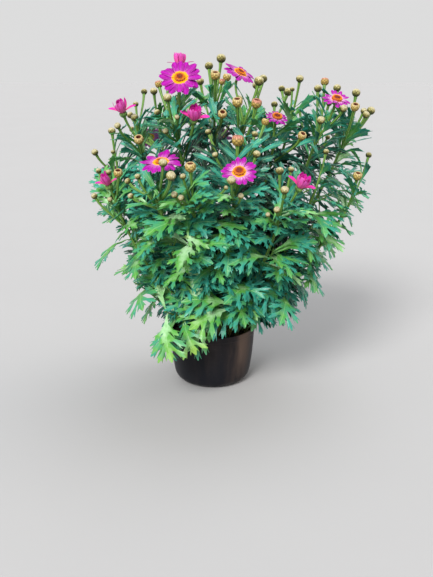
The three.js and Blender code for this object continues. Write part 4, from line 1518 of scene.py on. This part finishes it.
def ray_places(head, points, turn, width, length, foot, base, lean):
    """Stands a ray on its head: lean is its slope in radians from foot to tip, as [foot, tip]."""
    along, across, up = points.T
    steps = np.linspace(0, 1, 33)
    slope = (lean[0] + (lean[1] - lean[0]) * steps)[:-1]
    out, rise = (np.concatenate(([0], np.cumsum(part) / 32)) for part in (np.cos(slope), np.sin(slope)))
    distance = foot + np.interp(along, steps, out) * length - up * width * np.sin(lean[0])
    height = base + np.interp(along, steps, rise) * length + up * width
    return placed_head(head, turned(distance, across * width, height, turn))


CUP_RISE = 12
CUP_OUTER_RAYS = 9
CUP_INNER_RAYS = 8
CUP_SPREAD_RAYS = (0, 4)
FLORETS = 110
FLORETS_REACH = 6.7


class DAISY_OT_flowers(bpy.types.Operator):
    """Sets the rays and discs of the open flowers and the rays of the half-open ones"""

    bl_idname = "daisy.flowers"
    bl_label = "Flowers"

    def execute(self, context):
        look = context.scene.daisy
        petal = ray_finish(look, "ray_petal", look.ray_tint, look.ray_tint, look.ray_deep, 0.5)
        half = ray_finish(look, "cup_petal", look.cup_tint, look.cup_tip, look.cup_deep, 0.24)
        disc = disc_finish(look)
        ray = ray_shape("ray", 0.12)
        floret = floret_shape()
        dome = Shape("disc_dome", spun_mesh(DISC_OUTLINE, 24))
        for order, head in enumerate(head for plant in plant_rows() for head in plant.heads):
            draw = random.Random(500 + order).uniform
            if head.kind == "bloom":
                self.open_rays(head, ray, petal, draw, look.rays)
                self.florets(head, dome, floret, disc, draw)
            elif head.kind == "cup":
                self.cup_rays(head, ray, half, draw)
        return {"FINISHED"}

    def open_rays(self, head, ray, material, draw, count):
        piece = Piece("rays_fine_" + head.name)
        foot = 0.16 * head.radius
        for k in range(count):
            turn = (k + draw(-0.22, 0.22)) * FULL_TURN / count
            length = (head.radius - foot) * draw(0.88, 1.05)
            lean = (draw(0.0, 0.3), draw(-0.5, 0.35))
            width = head.radius * math.pi / count * draw(0.88, 1.06) * (1 - 0.3 * head.halo)
            places = ray_places(head, ray.points, turn, width, length, foot, 0.1 + 0.7 * (k % 2), lean)
            piece.add(ray, places, 0.06 + head.halo * draw(0.6, 1.1))
        piece.finish([material], "ray", "rays_" + head.name)

    def cup_rays(self, head, ray, material, draw):
        piece = Piece("cup_fine_" + head.name)
        radius = head.radius * 1.12

        def stand(turn, width, length, foot, base, lean):
            places = ray_places(
                head, ray.points, turn, radius * width, CUP_RISE * length, foot * radius, base, lean
            )
            piece.add(ray, places, 0)

        for k in range(CUP_OUTER_RAYS):
            turn = (k + draw(-0.1, 0.1)) * FULL_TURN / CUP_OUTER_RAYS
            length = draw(1.3, 1.55)
            lean = (0.7, -0.1) if k in CUP_SPREAD_RAYS else (draw(0.8, 0.95), draw(1.6, 1.85))
            stand(turn, 0.28, length, 0.3, 0, lean)
        for k in range(CUP_INNER_RAYS):
            turn = (k + 0.5) * FULL_TURN / CUP_INNER_RAYS
            stand(turn, 0.24, draw(1.2, 1.4), 0.14, 0.3, (1.1, draw(1.6, 1.9)))
        piece.finish([material], "cup", "cup_" + head.name)

    def florets(self, head, dome, floret, material, draw):
        piece = Piece("florets_" + head.name)
        piece.add(dome, placed_head(head, dome.points), 0.45)
        dome_line = sorted(DISC_OUTLINE[2:])
        for k in range(FLORETS):
            share = math.sqrt((k + 0.5) / FLORETS)
            out = FLORETS_REACH * share
            turn = k * GOLDEN_ANGLE
            size = 0.42 + 0.16 * share
            tall = size * (1.25 if share > 0.5 else 0.9)
            x, y, z = (floret.points * (size, size, tall)).T
            leaning = turned(x + z * 0.55 * share, y, z, turn)
            height = read_off(dome_line, out) + 0.5 * tall
            place = np.array((out * math.cos(turn), out * math.sin(turn), height))
            tone = share - 0.1 * head.halo + draw(-0.05, 0.05)
            piece.add(floret, placed_head(head, leaning + place), tone)
        piece.finish([material], "disc", "disc_" + head.name)


class DAISY_PT_panel(bpy.types.Panel):
    """Lists the pieces of the daisy and its colours"""

    bl_label = "Daisy"
    bl_idname = "DAISY_PT_panel"
    bl_space_type = "VIEW_3D"
    bl_region_type = "UI"
    bl_category = "Daisy"

    def draw(self, context):
        for operator in OPERATORS:
            self.layout.operator(operator.bl_idname)
        for name in DaisySettings.__annotations__:
            self.layout.prop(context.scene.daisy, name)


OPERATORS = (
    DAISY_OT_stage,
    DAISY_OT_pot,
    DAISY_OT_soil,
    DAISY_OT_stalks,
    DAISY_OT_leaves,
    DAISY_OT_buds,
    DAISY_OT_flowers,
)
CLASSES = (DaisySettings, *OPERATORS, DAISY_PT_panel)


def register():
    for cls in CLASSES:
        bpy.utils.register_class(cls)
    bpy.types.Scene.daisy = bpy.props.PointerProperty(type=DaisySettings)


def unregister():
    del bpy.types.Scene.daisy
    for cls in reversed(CLASSES):
        bpy.utils.unregister_class(cls)


def main():
    register()
    bpy.ops.daisy.stage()
    bpy.ops.daisy.pot()
    bpy.ops.daisy.soil()
    bpy.ops.daisy.stalks()
    bpy.ops.daisy.leaves()
    bpy.ops.daisy.buds()
    bpy.ops.daisy.flowers()


if __name__ == "__main__":
    main()
